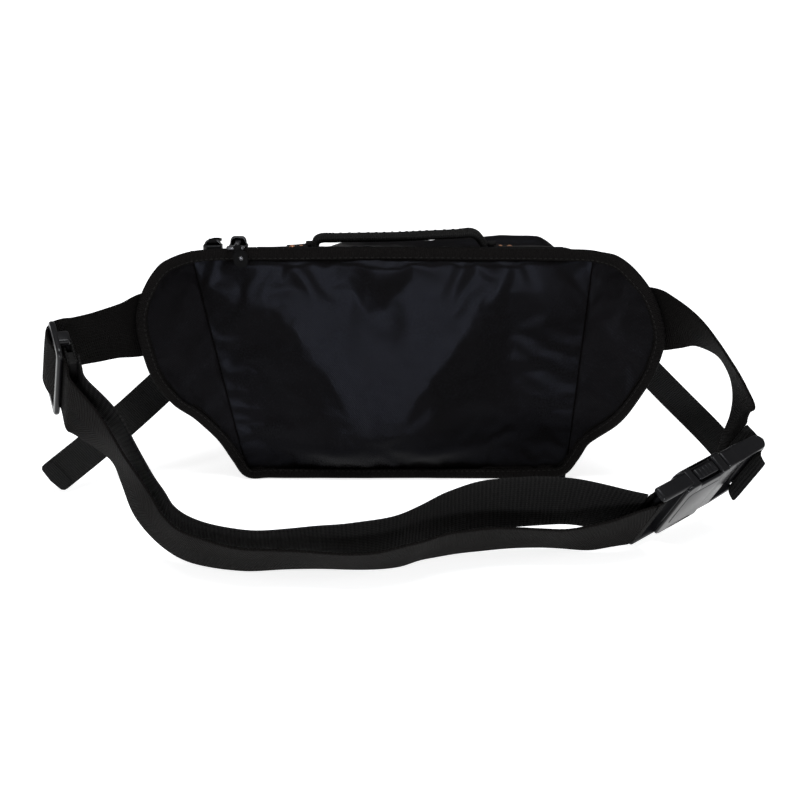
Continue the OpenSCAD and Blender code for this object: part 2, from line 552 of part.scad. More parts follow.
// right half of the belt: from the wing down to the male end
belt_right_path = [[124, -40.5, 102, 0, 0, 1], [138, -52, 103, 0, 0, 1], [147, -61.5, 104.5, -0.1, -0.1, 0.99],
    [155, -75, 106, -0.2, -0.4, 0.89], [164, -86, 104.5, -0.15, -0.75, 0.65], [173, -93, 98, -0.1, -0.9, 0.4],
    [180, -97.5, 90, -0.05, -0.97, 0.22], [186, -101, 79, 0, -0.98, 0.18], [189, -103, 69, 0.08, -0.95, 0.25],
    [188.8, -102, 62, 0.13, -0.88, 0.4], [187, -99.5, 56, 0.2, -0.75, 0.6]];
module belt_right() { color("#262527") webbing(belt_right_path, belt_width, belt_thick, 4); }
module male_strap_wrap() {
    inner_r = bar_d / 2 + 0.3;
    outer_r = inner_r + belt_thick;
    half = belt_width / 2;
    axis_x = male_end - bar_d / 2;
    color("#262527") buckle_frame() union() {
        translate([axis_x, half, 0]) rotate([90, 0, 0]) intersection() {
            difference() {
                cylinder(h = belt_width, r = outer_r);
                translate([0, 0, -1]) cylinder(h = belt_width + 2, r = inner_r);
            }
            cube([20, 20, belt_width]);
        }
        block(axis_x + inner_r, axis_x + outer_r, -half, half, -13, nudge);
        block(axis_x - 16, axis_x + nudge, -half, half, inner_r, outer_r);
    }
}

// ---- compression webbing: wing strap, ladder lock on its sewn tab, and the loose tail ----
lock_y = 2;
lock_share = [0.668, 0.711];
lock_lift = 5;
ply_rise = 3.35;
tail_thick = 1.3;
function on_gusset(side, y, v) = [side_x(side, y, v), y, mix(base_thick, top_z(y) - fabric - 0.2, v)];
function lock_along(side) =
    unit(on_gusset(side, lock_y - 8, lock_share[side]) - on_gusset(side, lock_y + 8, lock_share[side]));
function lock_up(side) = square_to(on_gusset(side, lock_y, lock_share[side] + 0.08)
    - on_gusset(side, lock_y, lock_share[side] - 0.08), lock_along(side));
function lock_across(side) = side == 0 ? lock_up(side) : -lock_up(side);
function lock_at(side) =
    on_gusset(side, lock_y, lock_share[side]) + cross(lock_along(side), lock_across(side)) * lock_lift;
function on_lock(side, s, n) =
    concat(out_of(lock_at(side), lock_along(side), lock_across(side), [s, 0, n]), lock_up(side));

left_tail_path = [on_lock(0, -1, ply_rise), on_lock(0, 5, ply_rise + 0.1), on_lock(0, 12, ply_rise + 2.4), [-121.5, -15.5, 80.5, -0.36, 0.2, 0.9],
    [-131, -23, 66, -0.66, 0.22, 0.7], [-150, -36, 49.5, -0.7, 0.22, 0.68],
    [-177, -50, 28, -0.7, 0.22, 0.68], [-205, -66, 8, -0.7, 0.22, 0.68]];
right_tail_path = [on_lock(1, -1, ply_rise), on_lock(1, 5, ply_rise + 0.1), on_lock(1, 10.5, ply_rise + 1.1), [119.9, -14.9, 87.9, 0.3, -0.3, 0.9],
    [140, -26, 72, 0.48, -0.48, 0.73], [163, -33, 50, 0.51, -0.5, 0.7],
    [185, -40, 29, 0.51, -0.5, 0.7], [203, -46, 10, 0.51, -0.5, 0.7]];
module tail(path) {
    C = curve(path, 3);
    n = len(C);
    color("#232325") union() {
        skin([for (i = [0:n - 1]) webbing_ring(C, i, tail_width, tail_thick)]);
        skin([for (i = [n - 3:n - 1]) webbing_ring(C, i, tail_width - 0.6, tail_thick + 0.1, 0.1 - tail_thick)]);
    }
}
module tail_left() { tail(left_tail_path); }
module tail_right() { tail(right_tail_path); }

module lock_frame(side) { frame_at(lock_at(side), lock_along(side), lock_across(side)) children(); }
module ladder_lock(side) {
    half = tail_width / 2;
    color("#1b1b1f") lock_frame(side) difference() {
        block(-9, 9, -half - 2.6, half + 2.6, -2.4, 2.4);
        block(-7, -1.4, -half - 0.6, half + 0.6, -4, 4);
        block(1.4, 7, -half - 0.6, half + 0.6, -4, 4);
    }
}
module ladder_lock_left() { ladder_lock(0); }
module ladder_lock_right() { ladder_lock(1); }
// short webbing sewn to the gusset and folded round the front bar of the lock
module lock_tab(side) {
    half = tail_width / 2 - 0.4;
    low = 0.1 - lock_lift;
    color("#232325") lock_frame(side) rotate([90, 0, 0]) translate([0, 0, -half]) linear_extrude(height = half * 2)
        difference() {
            polygon([[-30, low], [-5.4, low], [-5.4, 3.9], [-10.4, 3.9], [-15.5, low + 2.4], [-30, low + 2.4]]);
            polygon([[-6.6, low + 1.2], [-6.6, 2.7], [-9.7, 2.7], [-14.4, low + 1.2]]);
        }
}
module lock_tab_left() { lock_tab(0); }
module lock_tab_right() { lock_tab(1); }
module side_strap_left() {
    color("#232325") webbing([[-125, -38.6, 98.5, 0, 0, 1], [-115, -25, 94.5, 0, 0.1, 1],
        on_lock(0, 12, -ply_rise), on_lock(0, -1, -ply_rise)], tail_width, tail_thick, 2);
}
module side_strap_right() {
    color("#232325") webbing([[127, -38.6, 101, 0, 0, 1], [115.5, -25, 98.5, 0, 0.1, 1],
        on_lock(1, 12, -ply_rise), on_lock(1, -1, -ply_rise)], tail_width, tail_thick, 2);
}

base_panel();
back_panel();
left_wing();
right_wing();
back_binding();
left_gusset();
right_gusset();
front_panel();
front_binding();
front_pocket();
pocket_zip();
pocket_slider();
pocket_pull();
top_rear_strip();
rear_zip_tape();
rear_coil();
zip_stop_left();
zip_stop_right();
top_end_left();
top_end_right();
top_lid();
lid_zip_tape();
lid_coil();
handle_anchor_left();
handle_anchor_right();
rivets_left();
rivets_right();
handle();
slider_a();
pull_ring_a();
pull_tab_a();
slider_b();
pull_b();
belt_outer_layer();
belt_return_layer();
belt_buckle_loop();
adjuster_frame();
adjuster_loop();
belt_right();
buckle_female();
buckle_male();
buckle_latch_near();
buckle_latch_far();
male_strap_wrap();
tail_left();
tail_right();
ladder_lock_left();
ladder_lock_right();
side_strap_left();
side_strap_right();
lock_tab_left();
lock_tab_right();
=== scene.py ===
# Waist pack: the dressed model. Lengths are in millimetres up to mesh(), which turns them into metres.
import math

import bmesh
import bpy
from mathutils import Matrix, Vector, noise


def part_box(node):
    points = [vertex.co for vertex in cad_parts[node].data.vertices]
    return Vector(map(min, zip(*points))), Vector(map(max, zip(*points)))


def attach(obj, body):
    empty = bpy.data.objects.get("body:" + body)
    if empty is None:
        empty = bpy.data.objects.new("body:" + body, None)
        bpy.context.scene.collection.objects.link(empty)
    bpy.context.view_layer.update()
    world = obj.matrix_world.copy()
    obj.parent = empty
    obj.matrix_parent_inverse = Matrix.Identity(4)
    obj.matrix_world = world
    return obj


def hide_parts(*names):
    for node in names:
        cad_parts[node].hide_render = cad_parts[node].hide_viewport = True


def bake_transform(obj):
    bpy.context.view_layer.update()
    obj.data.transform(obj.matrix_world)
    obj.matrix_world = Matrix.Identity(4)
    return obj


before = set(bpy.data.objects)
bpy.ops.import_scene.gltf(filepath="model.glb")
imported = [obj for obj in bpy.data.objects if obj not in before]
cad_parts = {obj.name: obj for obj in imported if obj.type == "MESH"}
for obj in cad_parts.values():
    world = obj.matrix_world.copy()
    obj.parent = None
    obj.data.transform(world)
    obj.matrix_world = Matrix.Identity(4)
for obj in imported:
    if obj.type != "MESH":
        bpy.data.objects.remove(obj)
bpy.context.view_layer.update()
MM = 0.001


# ---- camera, lamps and backdrop ----
CAMERA_TILT = math.radians(18)
CAMERA_REACH = 0.9
LOOK_AT = Vector((0, -0.040, 0.0495))


def set_camera():
    """A long lens from in front, a little above the pack."""
    toward = Vector((0, -math.cos(CAMERA_TILT), math.sin(CAMERA_TILT)))
    data = bpy.data.cameras.new("camera")
    data.sensor_width = 36
    data.lens = 68.2
    camera = bpy.data.objects.new("camera", data)
    turn = toward.to_track_quat("Z", "Y").to_matrix().to_4x4()
    camera.matrix_world = Matrix.Translation(LOOK_AT + toward * CAMERA_REACH) @ turn
    bpy.context.scene.collection.objects.link(camera)
    bpy.context.scene.camera = camera


def set_lamp(name, place, aim, size, power, tint=(1, 1, 1)):
    """A rectangular lamp that faces its aim."""
    data = bpy.data.lights.new(name, "AREA")
    data.shape = "RECTANGLE"
    data.size, data.size_y = size
    data.energy = power
    data.color = tint
    lamp = bpy.data.objects.new(name, data)
    away = Vector(place) - Vector(aim)
    lamp.matrix_world = Matrix.Translation(Vector(place)) @ away.to_track_quat("Z", "Y").to_matrix().to_4x4()
    bpy.context.scene.collection.objects.link(lamp)


# ---- shader maths ----
class Value:
    """A shader socket that takes part in ordinary sums."""

    def __init__(self, finish, socket):
        self.finish = finish
        self.socket = socket

    def sum(self, operation, *others):
        return self.finish.node("ShaderNodeMath", {"operation": operation}, dict(enumerate((self,) + others)))

    def __add__(self, other): return self.sum("ADD", other)
    def __radd__(self, other): return self.sum("ADD", other)
    def __sub__(self, other): return self.sum("SUBTRACT", other)
    def __mul__(self, other): return self.sum("MULTIPLY", other)
    def __abs__(self): return self.sum("ABSOLUTE")
    def sine(self): return self.sum("SINE")
    def over(self, edge): return self.sum("GREATER_THAN", edge)
    def at_least(self, other): return self.sum("MAXIMUM", other)
    def at_most(self, other): return self.sum("MINIMUM", other)


class Finish:
    """A material whose nodes are written as expressions."""

    def __init__(self, name, **fixed):
        self.material = bpy.data.materials.new(name)
        self.material.use_nodes = True
        self.tree = self.material.node_tree
        self.shader = self.tree.nodes["Principled BSDF"]
        for socket, value in fixed.items():
            self.shader.inputs[socket.replace("_", " ")].default_value = value

    def node(self, kind, settings, inputs, out=0):
        """A new node with these settings and inputs; gives the output asked for."""
        node = self.tree.nodes.new(kind)
        for name, value in settings.items():
            setattr(node, name, value)
        for name, value in inputs.items():
            self.feed(node.inputs[name], value)
        return Value(self, node.outputs[out])

    def feed(self, socket, value):
        if isinstance(value, Value):
            self.tree.links.new(value.socket, socket)
        elif hasattr(value, "__len__") and socket.type == "RGBA" and len(value) == 3:
            socket.default_value = (*value, 1)
        else:
            socket.default_value = value

    def place(self):
        """Object coordinates."""
        return self.node("ShaderNodeTexCoord", {}, {}, out="Object")

    def along_cloth(self):
        """The piece's own map: across and along the cloth, in metres."""
        spot = self.node("ShaderNodeUVMap", {"uv_map": "cloth"}, {})
        split = self.node("ShaderNodeSeparateXYZ", {}, {"Vector": spot})
        return [Value(self, socket) for socket in split.socket.node.outputs][:2]

    def mottle(self, spot, scale, detail=3.0, rough=0.55):
        inputs = {"Vector": spot, "Scale": scale, "Detail": detail, "Roughness": rough}
        return self.node("ShaderNodeTexNoise", {}, inputs)

    def blend(self, factor, first, second):
        return self.node("ShaderNodeMix", {"data_type": "RGBA"}, {0: factor, 6: first, 7: second}, out=2)

    def raise_by(self, height, distance):
        return self.node("ShaderNodeBump", {}, {"Height": height, "Distance": distance, "Strength": 1.0})

    def wear(self, **sockets):
        for name, value in sockets.items():
            self.feed(self.shader.inputs[name.replace("_", " ")], value)
        return self.material


def woven_cloth(name, deep, pale, thread, roughness, sheen, tint, bump, creases=0.0, gloss=0.2):
    """Plain woven nylon with a thread of that width in metres."""
    cloth = Finish(name, Sheen_Weight=sheen, Sheen_Roughness=0.45, Sheen_Tint=tint, Specular_IOR_Level=gloss,
                   Specular_Tint=tint)
    u, v = cloth.along_cloth()
    around = cloth.place()
    warp = (u * (math.pi / thread)).sine()
    weft = (v * (math.pi / thread)).sine()
    grain = warp * weft
    slub = cloth.mottle(around, 900, 2)
    patches = cloth.mottle(around, 26, 4)
    fold = cloth.mottle(around, 70, 2, 0.5)
    lint = cloth.mottle(around, 2600, 1).over(0.71)
    colour = cloth.blend((patches * 1.8 - 0.4) * 0.7 + slub * 0.3, deep, pale)
    colour = cloth.blend(lint * 0.16, colour, (0.08, 0.08, 0.09))
    height = grain * 0.5 + slub * 0.9 + fold * creases
    return cloth.wear(Base_Color=colour, Roughness=patches * 0.08 + roughness + slub * 0.04,
                      Normal=cloth.raise_by(height, bump))


def ribbed_webbing(name, deep, pale, rib, roughness, slant=0.0, worn=0.2):
    """Webbing with ribs across its length, a finer warp, and pale flecks of fuzz."""
    tape = Finish(name, Specular_IOR_Level=0.05)
    u, v = tape.along_cloth()
    around = tape.place()
    ribs = ((v + abs(u) * slant) * (2 * math.pi / rib)).sine()
    warp = (u * (2 * math.pi / (rib * 0.8)) + ribs * 0.9).sine()
    slub = tape.mottle(around, 700, 3)
    patches = tape.mottle(around, 34, 4)
    fuzz = tape.mottle(around, 3000, 1).over(0.66)
    # Painted light and shade: the colour follows the ribs' height, lighter on their crowns and darker in the valleys
    # between them, as light falls across the ribs.
    crown = ribs * 0.5 + 0.5
    colour = tape.blend(crown * 0.55 + patches * 0.35 + slub * 0.2 - 0.1, deep, pale)
    colour = tape.blend(fuzz * worn, colour, (0.07, 0.067, 0.062))
    height = ribs * 0.75 + warp * 0.35 + slub * 0.5
    return tape.wear(Base_Color=colour, Roughness=patches * 0.14 + roughness, Normal=tape.raise_by(height, 0.00028))


def moulded_plastic(name, colour, roughness, scuff, gloss=0.25):
    """Acetal: glossy, faintly mottled, with fine handling scuffs."""
    plastic = Finish(name, IOR=1.49, Specular_IOR_Level=0.06 + gloss, Coat_Roughness=0.08)
    around = plastic.place()
    flow = plastic.mottle(around, 60, 3)
    scuffs = plastic.mottle(around, 420, 5, 0.7)
    pits = plastic.mottle(around, 1500, 2)
    tone = plastic.blend(scuffs * flow, colour, tuple(c * 1.8 + 0.003 for c in colour))
    return plastic.wear(Base_Color=tone, Roughness=roughness + scuffs * scuff + flow * 0.08,
                        Coat_Weight=flow * 0.2 * gloss + gloss,
                        Normal=plastic.raise_by(pits * 0.3 + flow * 0.7, 0.00004))


def lacquered_metal(name, paint, bare, roughness, worn):
    """Die cast metal under black lacquer, rubbed through in places."""
    metal = Finish(name, Specular_IOR_Level=0.5)
    around = metal.place()
    rubbed = metal.mottle(around, 520, 4, 0.65).over(1 - worn)
    grain = metal.mottle(around, 1800, 2)
    return metal.wear(Base_Color=metal.blend(rubbed, paint, bare), Metallic=rubbed * 0.6 + 0.4,
                      Roughness=roughness + grain * 0.18, Normal=metal.raise_by(grain, 0.00005))


def make_finishes():
    """Every finish by its name."""
    return {
        "panel_cloth": woven_cloth("panel_cloth", (0.0020, 0.0017, 0.0016), (0.0036, 0.0031, 0.0030), 0.0006,
                                   0.22, 0.0, (0.70, 0.76, 1, 1), 0.00007, 0.4, 0.045),
        "body_cloth": woven_cloth("body_cloth", (0.0020, 0.0017, 0.0018), (0.0042, 0.0036, 0.0040), 0.0007,
                                  0.36, 0.0, (0.8, 0.85, 1, 1), 0.00012, 0.7, 0.05),
        "binding_tape": ribbed_webbing("binding_tape", (0.0032, 0.0027, 0.0026), (0.0060, 0.0052, 0.0049), 0.0010, 0.72,
                                       0, 0.05),
        "zip_tape": ribbed_webbing("zip_tape", (0.0025, 0.0024, 0.0024), (0.005, 0.0048, 0.0048), 0.0007, 0.7, 0.6,
                                   0.05),
        "zip_coil": moulded_plastic("zip_coil", (0.0035, 0.0035, 0.0038), 0.55, 0.2, 0.0),
        "belt_webbing": ribbed_webbing("belt_webbing", (0.0016, 0.0013, 0.0012), (0.0044, 0.0038, 0.0034), 0.0016, 0.70,
                                       0.35, 0.06),
        "return_webbing": ribbed_webbing("return_webbing", (0.004, 0.0039, 0.0039), (0.0135, 0.013, 0.0125), 0.0021,
                                         0.68, 0, 0.12),
        "narrow_webbing": ribbed_webbing("narrow_webbing", (0.006, 0.006, 0.006), (0.015, 0.0145, 0.014), 0.0012, 0.68,
                                         0, 0.15),
        "thread": ribbed_webbing("thread", (0.009, 0.0085, 0.008), (0.020, 0.019, 0.018), 0.0004, 0.5, 0.5, 0.0),
        "fitting_plastic": moulded_plastic("fitting_plastic", (0.0034, 0.0033, 0.0038), 0.22, 0.08, 0.1),
        "pull_plastic": moulded_plastic("pull_plastic", (0.0016, 0.0015, 0.0016), 0.72, 0.02, 0.0),
        "slider_metal": lacquered_metal("slider_metal", (0.005, 0.005, 0.006), (0.11, 0.105, 0.10), 0.34, 0.18),
        "ring_metal": lacquered_metal("ring_metal", (0.05, 0.05, 0.055), (0.5, 0.5, 0.5), 0.16, 0.4),
        "rivet_copper": lacquered_metal("rivet_copper", (0.42, 0.19, 0.10), (0.62, 0.33, 0.2), 0.28, 0.4),
    }


# ---- making pieces ----
def mesh(name, bm, finish, body="pack", stands_for=()):
    """Closes the bmesh into a finished piece in metres that rides on a body, unless no body is given."""
    bmesh.ops.recalc_face_normals(bm, faces=bm.faces)
    bmesh.ops.scale(bm, vec=(MM, MM, MM), verts=bm.verts)
    data = bpy.data.meshes.new(name)
    bm.to_mesh(data)
    bm.free()
    for face in data.polygons:
        face.use_smooth = True
    data.materials.append(FINISHES[finish])
    piece = bpy.data.objects.new(name, data)
    bpy.context.scene.collection.objects.link(piece)
    if body:
        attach(piece, body)
    if stands_for:
        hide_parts(*([stands_for] if isinstance(stands_for, str) else stands_for))
    return piece


def soften(piece, levels=1):
    """Smooths a piece by subdividing it."""
    step = piece.modifiers.new("soften", "SUBSURF")
    step.levels = levels
    step.render_levels = levels
    return piece


def mix(a, b, k):
    return a + (b - a) * k


def ease(k):
    k = min(max(k, 0.0), 1.0)
    return k * k * (3 - 2 * k)


def hill(value, middle, width):
    """1 at the middle, falling smoothly to 0 one width away."""
    return ease(1 - abs(value - middle) / width)


def box_mm(node):
    low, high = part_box(node)
    return low / MM, high / MM


def smooth_through(rows, steps, closed=False):
    """Points on a smooth curve through the rows, steps to each gap; a row's first three numbers are its place."""
    count = len(rows)
    rows = [Vector(row) for row in rows]
    pick = (lambda i: rows[i % count]) if closed else (lambda i: rows[min(max(i, 0), count - 1)])

    def pace(first, second):
        return max((second.xyz - first.xyz).length, 1e-4) ** 0.5
    points = []
    for i in range(count if closed else count - 1):
        a, b, c, d = pick(i - 1), pick(i), pick(i + 1), pick(i + 2)
        if not closed and i == 0:
            a = 2 * b - c
        if not closed and i == count - 2:
            d = 2 * c - b
        ab, bc, cd = pace(a, b), pace(b, c), pace(c, d)
        leave = ((b - a) / ab - (c - a) / (ab + bc) + (c - b) / bc) * bc
        arrive = ((c - b) / bc - (d - b) / (bc + cd) + (d - c) / cd) * bc
        for step in range(steps):
            k = step / steps
            points.append(b * (2 * k ** 3 - 3 * k * k + 1) + leave * (k ** 3 - 2 * k * k + k)
                          + c * (3 * k * k - 2 * k ** 3) + arrive * (k ** 3 - k * k))
    return points if closed else points + [rows[-1]]


class Station:
    """One place on a strap: its middle, its direction, across and out of its face, and the length so far."""

    def __init__(self, middle, along, across, length):
        self.middle = middle
        self.along = along.normalized()
        self.across = across.normalized()
        self.out = self.along.cross(self.across).normalized()
        self.length = length

    def at(self, s, n, forward=0.0):
        return self.middle + self.across * s + self.out * n + self.along * forward


def stations(rows, steps, closed=False, across=None):
    """Stations along a smooth curve: rows hold a middle and a width direction, unless across gives it."""
    points = smooth_through(rows, steps, closed)
    places = [point.xyz for point in points]
    made, length, count = [], 0.0, len(places)
    for i, place in enumerate(places):
        before = places[(i - 1) % count] if closed else places[max(i - 1, 0)]
        after = places[(i + 1) % count] if closed else places[min(i + 1, count - 1)]
        if i:
            length += (place - places[i - 1]).length
        along = (after - before).normalized()
        made.append(Station(place, along, across(along) if across else Vector(points[i][3:6]), length))
    return made


def sweep(bm, path, outline, closed=False, vary=None):
    """Carries a closed outline of (across, out) points along stations; vary moves a point (s, n, station)."""
    cloth = bm.loops.layers.uv.get("cloth") or bm.loops.layers.uv.new("cloth")
    slot_of = bm.verts.layers.int.get("slot") or bm.verts.layers.int.new("slot")
    length_of = bm.verts.layers.float.get("length") or bm.verts.layers.float.new("length")
    total = path[-1].length

    def lay(verts, station):
        for vert in verts:
            s, n = outline[vert[slot_of]]
            if vary:
                s, n = vary(s, n, station)
            vert.co = station.at(s, n)
            vert[length_of] = station.length

    ring = [bm.verts.new() for _ in outline]
    for index, vert in enumerate(ring):
        vert[slot_of] = index
    lay(ring, path[0])
    edges = [bm.edges.new((ring[i], ring[(i + 1) % len(ring)])) for i in range(len(ring))]
    first = list(edges)
    faces = []
    for station in path[1:]:
        grown = bmesh.ops.extrude_edge_only(bm, edges=edges)["geom"]
        fresh = {g for g in grown if isinstance(g, bmesh.types.BMVert)}
        lay(fresh, station)
        faces += [g for g in grown if isinstance(g, bmesh.types.BMFace)]
        edges = [g for g in grown if isinstance(g, bmesh.types.BMEdge) and fresh.issuperset(g.verts)]
    if closed:
        faces += bmesh.ops.bridge_loops(bm, edges=first + edges)["faces"]
    else:
        for end in (first, edges):
            faces += bmesh.ops.contextual_create(bm, geom=end)["faces"]
    for face in faces:
        lengths = [vert[length_of] for vert in face.verts]
        wraps = closed and max(lengths) - min(lengths) > total / 2
        for loop in face.loops:
            length = loop.vert[length_of]
            if wraps and length < total / 2:
                length += total
            loop[cloth].uv = (outline[loop.vert[slot_of]][0] * MM, length * MM)


def flat_outline(width, thick, splits=8, crown=0.0):
    """Webbing's section: two faces with rounded edges, a little thicker in the middle."""
    half, rise = width / 2, thick / 2
    inset = rise * 0.8
    top = [(mix(half - inset, inset - half, i / splits), rise + crown * math.sin(math.pi * i / splits))
           for i in range(splits + 1)]
    return (top + [(-half + inset * 0.25, rise * 0.6), (-half, 0), (-half + inset * 0.25, -rise * 0.6)]
            + [(-s, -n) for s, n in top] + [(half - inset * 0.25, -rise * 0.6), (half, 0),
                                            (half - inset * 0.25, rise * 0.6)])


def limp(seed, waver, curl):
    """Makes a strap waver a little off its path and roll at its edges."""
    def vary(s, n, station):
        drift = noise.noise(Vector((station.length / 31, seed, 0))) * waver
        edge = noise.noise(Vector((station.length / 19, seed + 5, 3 if s > 0 else -3))) * curl
        return s, n + drift + edge * (abs(s) / 19) ** 2
    return vary


def sheet_piece(name, face, lining, columns, rows, size, finish, body="pack", stands_for=(), soft=1):
    """Cloth between face(u, v) and lining(u, v), closed round its edge; size is its flat width and height."""
    bm = bmesh.new()
    cloth = bm.loops.layers.uv.new("cloth")
    u_of = bm.verts.layers.float.new("u")
    v_of = bm.verts.layers.float.new("v")
    bmesh.ops.create_grid(bm, x_segments=columns, y_segments=rows, size=0.5)
    for vert in bm.verts:
        vert[u_of] = vert.co.x + 0.5
        vert[v_of] = vert.co.y + 0.5
    grown = bmesh.ops.extrude_face_region(bm, geom=bm.faces[:], use_keep_orig=True)["geom"]
    inner = {g for g in grown if isinstance(g, bmesh.types.BMVert)}
    for vert in bm.verts:
        vert.co = (lining if vert in inner else face)(vert[u_of], vert[v_of])
    for bent in bm.faces:
        for loop in bent.loops:
            loop[cloth].uv = (loop.vert[u_of] * size[0] * MM, loop.vert[v_of] * size[1] * MM)
    sharp = bm.edges.layers.float.new("crease_edge")
    for edge in bm.edges:
        a, b = edge.verts
        if all(min(w[u_of], w[v_of], 1 - w[u_of], 1 - w[v_of]) < 1e-5 for w in (a, b)):
            edge[sharp] = 0.85
    piece = mesh(name, bm, finish, body, stands_for)
    return soften(piece, soft) if soft else piece


def settle(name, place, columns, rows, slack, push, cap, stiff=1.0, frames=20):
    """Cloth over place(u, v), held round its edge and cut too large by slack, settles into its own folds.
    Gives the settled place(u, v) on the same grid. push swells it along its normal; cap is the most it may move."""
    bm = bmesh.new()
    bmesh.ops.create_grid(bm, x_segments=columns, y_segments=rows, size=0.5)
    spots = [(vert.co.x + 0.5, vert.co.y + 0.5) for vert in bm.verts]
    starts = [place(u, v) for u, v in spots]
    for vert, start in zip(bm.verts, starts):
        vert.co = start * MM
    data = bpy.data.meshes.new(name)
    bm.to_mesh(data)
    bm.free()
    sheet = bpy.data.objects.new(name, data)
    scene = bpy.context.scene
    scene.collection.objects.link(sheet)
    held = sheet.vertex_groups.new(name="held")
    held.add([index for index, (u, v) in enumerate(spots) if min(u, v, 1 - u, 1 - v) < 1e-4], 1, "REPLACE")
    step = sheet.modifiers.new("cloth", "CLOTH")
    cloth = step.settings
    cloth.vertex_group_mass = "held"
    cloth.shrink_min = cloth.shrink_max = -slack
    cloth.use_pressure = True
    cloth.uniform_pressure_force = push
    cloth.effector_weights.gravity = 0
    cloth.quality = 6
    cloth.mass = 0.15
    cloth.tension_stiffness = cloth.compression_stiffness = 15
    cloth.shear_stiffness = 8
    cloth.bending_stiffness = stiff
    cloth.air_damping = 2
    step.point_cache.frame_start = 1
    step.point_cache.frame_end = frames
    for frame_number in range(1, frames + 1):
        scene.frame_set(frame_number)
    settled = sheet.evaluated_get(bpy.context.evaluated_depsgraph_get()).to_mesh()
    grid = {}
    for (u, v), start, vert in zip(spots, starts, settled.vertices):
        move = vert.co / MM - start
        if move.length > cap:
            move *= cap / move.length
        grid[round(u * columns), round(v * rows)] = start + move
    bpy.data.objects.remove(sheet)
    bpy.data.meshes.remove(data)
    scene.frame_set(1)
    return lambda u, v: grid[round(u * columns), round(v * rows)]


def rounded(corners, steps=6):
    """An outline of (x, y) points from corners (x, y, radius), each rounded with an arc."""
    points, count = [], len(corners)
    for i, (x, y, radius) in enumerate(corners):
        here = Vector((x, y))
        into = (here - Vector(corners[i - 1][:2])).normalized()
        away = (Vector(corners[(i + 1) % count][:2]) - here).normalized()
        if radius <= 0:
            points.append(here)
            continue
        turn = into.angle_signed(away)
        reach = radius * math.tan(abs(turn) / 2)
        side = Vector((into.y, -into.x)) if turn > 0 else Vector((-into.y, into.x))
        centre = here - into * reach + side * radius
        for step in range(steps + 1):
            arm = -side * radius
            arm.rotate(Matrix.Rotation(-turn * step / steps, 2))
            points.append(centre + arm)
    return points


def mirrored(corners):
    """The corners (x, y, radius) of one side, and of the other side back to the start."""
    return corners + [(x, -y, radius) for x, y, radius in reversed(corners)]


class Frame:
    """A place with its own axes: x along, y across, z out."""

    def __init__(self, origin, along=(1, 0, 0), across=(0, 1, 0)):
        x = Vector(along).normalized()
        y = Vector(across)
        y = (y - x * y.dot(x)).normalized()
        z = x.cross(y)
        self.origin, self.x, self.y, self.z = Vector(origin), x, y, z
        self.matrix = Matrix.Translation(self.origin) @ Matrix((x, y, z)).transposed().to_4x4()

    def at(self, x, y, z):
        return self.origin + self.x * x + self.y * y + self.z * z


def put(bm, verts, place):
    """Moves the vertices by a matrix."""
    bmesh.ops.transform(bm, matrix=place, verts=list(verts))


def block(bm, x, y, z, radius=0.4, segments=3, place=None):
    """A block between the limits x, y and z, with its edges rounded."""
    made = bmesh.ops.create_cube(bm, size=1)["verts"]
    for vert in made:
        vert.co = (x[0] if vert.co.x < 0 else x[1], y[0] if vert.co.y < 0 else y[1], z[0] if vert.co.z < 0 else z[1])
    if radius:
        edges = {edge for vert in made for edge in vert.link_edges}
        made = round_edges(bm, edges, radius, segments)
    if place:
        put(bm, made, place)


def round_edges(bm, edges, radius, segments=3):
    """Bevels the edges and gives the vertices that this makes."""
    return bmesh.ops.bevel(bm, geom=list(edges), offset=radius, offset_type="OFFSET", segments=segments,
                           profile=0.5, affect="EDGES", material=-1)["verts"]


def level_edges(verts):
    """The edges at these vertices that lie at one height."""
    return {e for v in verts for e in v.link_edges if abs(e.verts[0].co.z - e.verts[1].co.z) < 1e-6}


def plate(bm, outline, low, high, edge=0.6, segments=3, place=None):
    """A plate with that outline between two heights, its rims rounded."""
    verts = [bm.verts.new((p[0], p[1], low)) for p in outline]
    face = bm.faces.new(verts)
    grown = bmesh.ops.extrude_face_region(bm, geom=[face], use_keep_orig=True)["geom"]
    top = [g for g in grown if isinstance(g, bmesh.types.BMVert)]
    bmesh.ops.translate(bm, vec=(0, 0, high - low), verts=top)
    made = set(verts) | set(top)
    if edge:
        made = set(round_edges(bm, level_edges(made), edge, segments)) | {v for v in made if v.is_valid}
    if place:
        put(bm, made, place)


def window_plate(bm, outside, inside, low, high, edge=0.6, segments=3, place=None):
    """A plate with a window: both outlines have the same number of points."""
    loops = []
    for outline in (outside, inside):
        ring = [bm.verts.new((p[0], p[1], low)) for p in outline]
        loops.append([bm.edges.new((ring[i], ring[(i + 1) % len(ring)])) for i in range(len(ring))])
    faces = bmesh.ops.bridge_loops(bm, edges=loops[0] + loops[1])["faces"]
    grown = bmesh.ops.extrude_face_region(bm, geom=faces, use_keep_orig=True)["geom"]
    top = [g for g in grown if isinstance(g, bmesh.types.BMVert)]
    bmesh.ops.translate(bm, vec=(0, 0, high - low), verts=top)
    made = {v for f in faces for v in f.verts} | set(top)
    if edge:
        bm.normal_update()
        rims = {e for e in level_edges(made) if any(abs(f.normal.z) < 0.5 for f in e.link_faces)}
        made = set(round_edges(bm, rims, edge, segments)) | {v for v in made if v.is_valid}
    if place:
        put(bm, made, place)


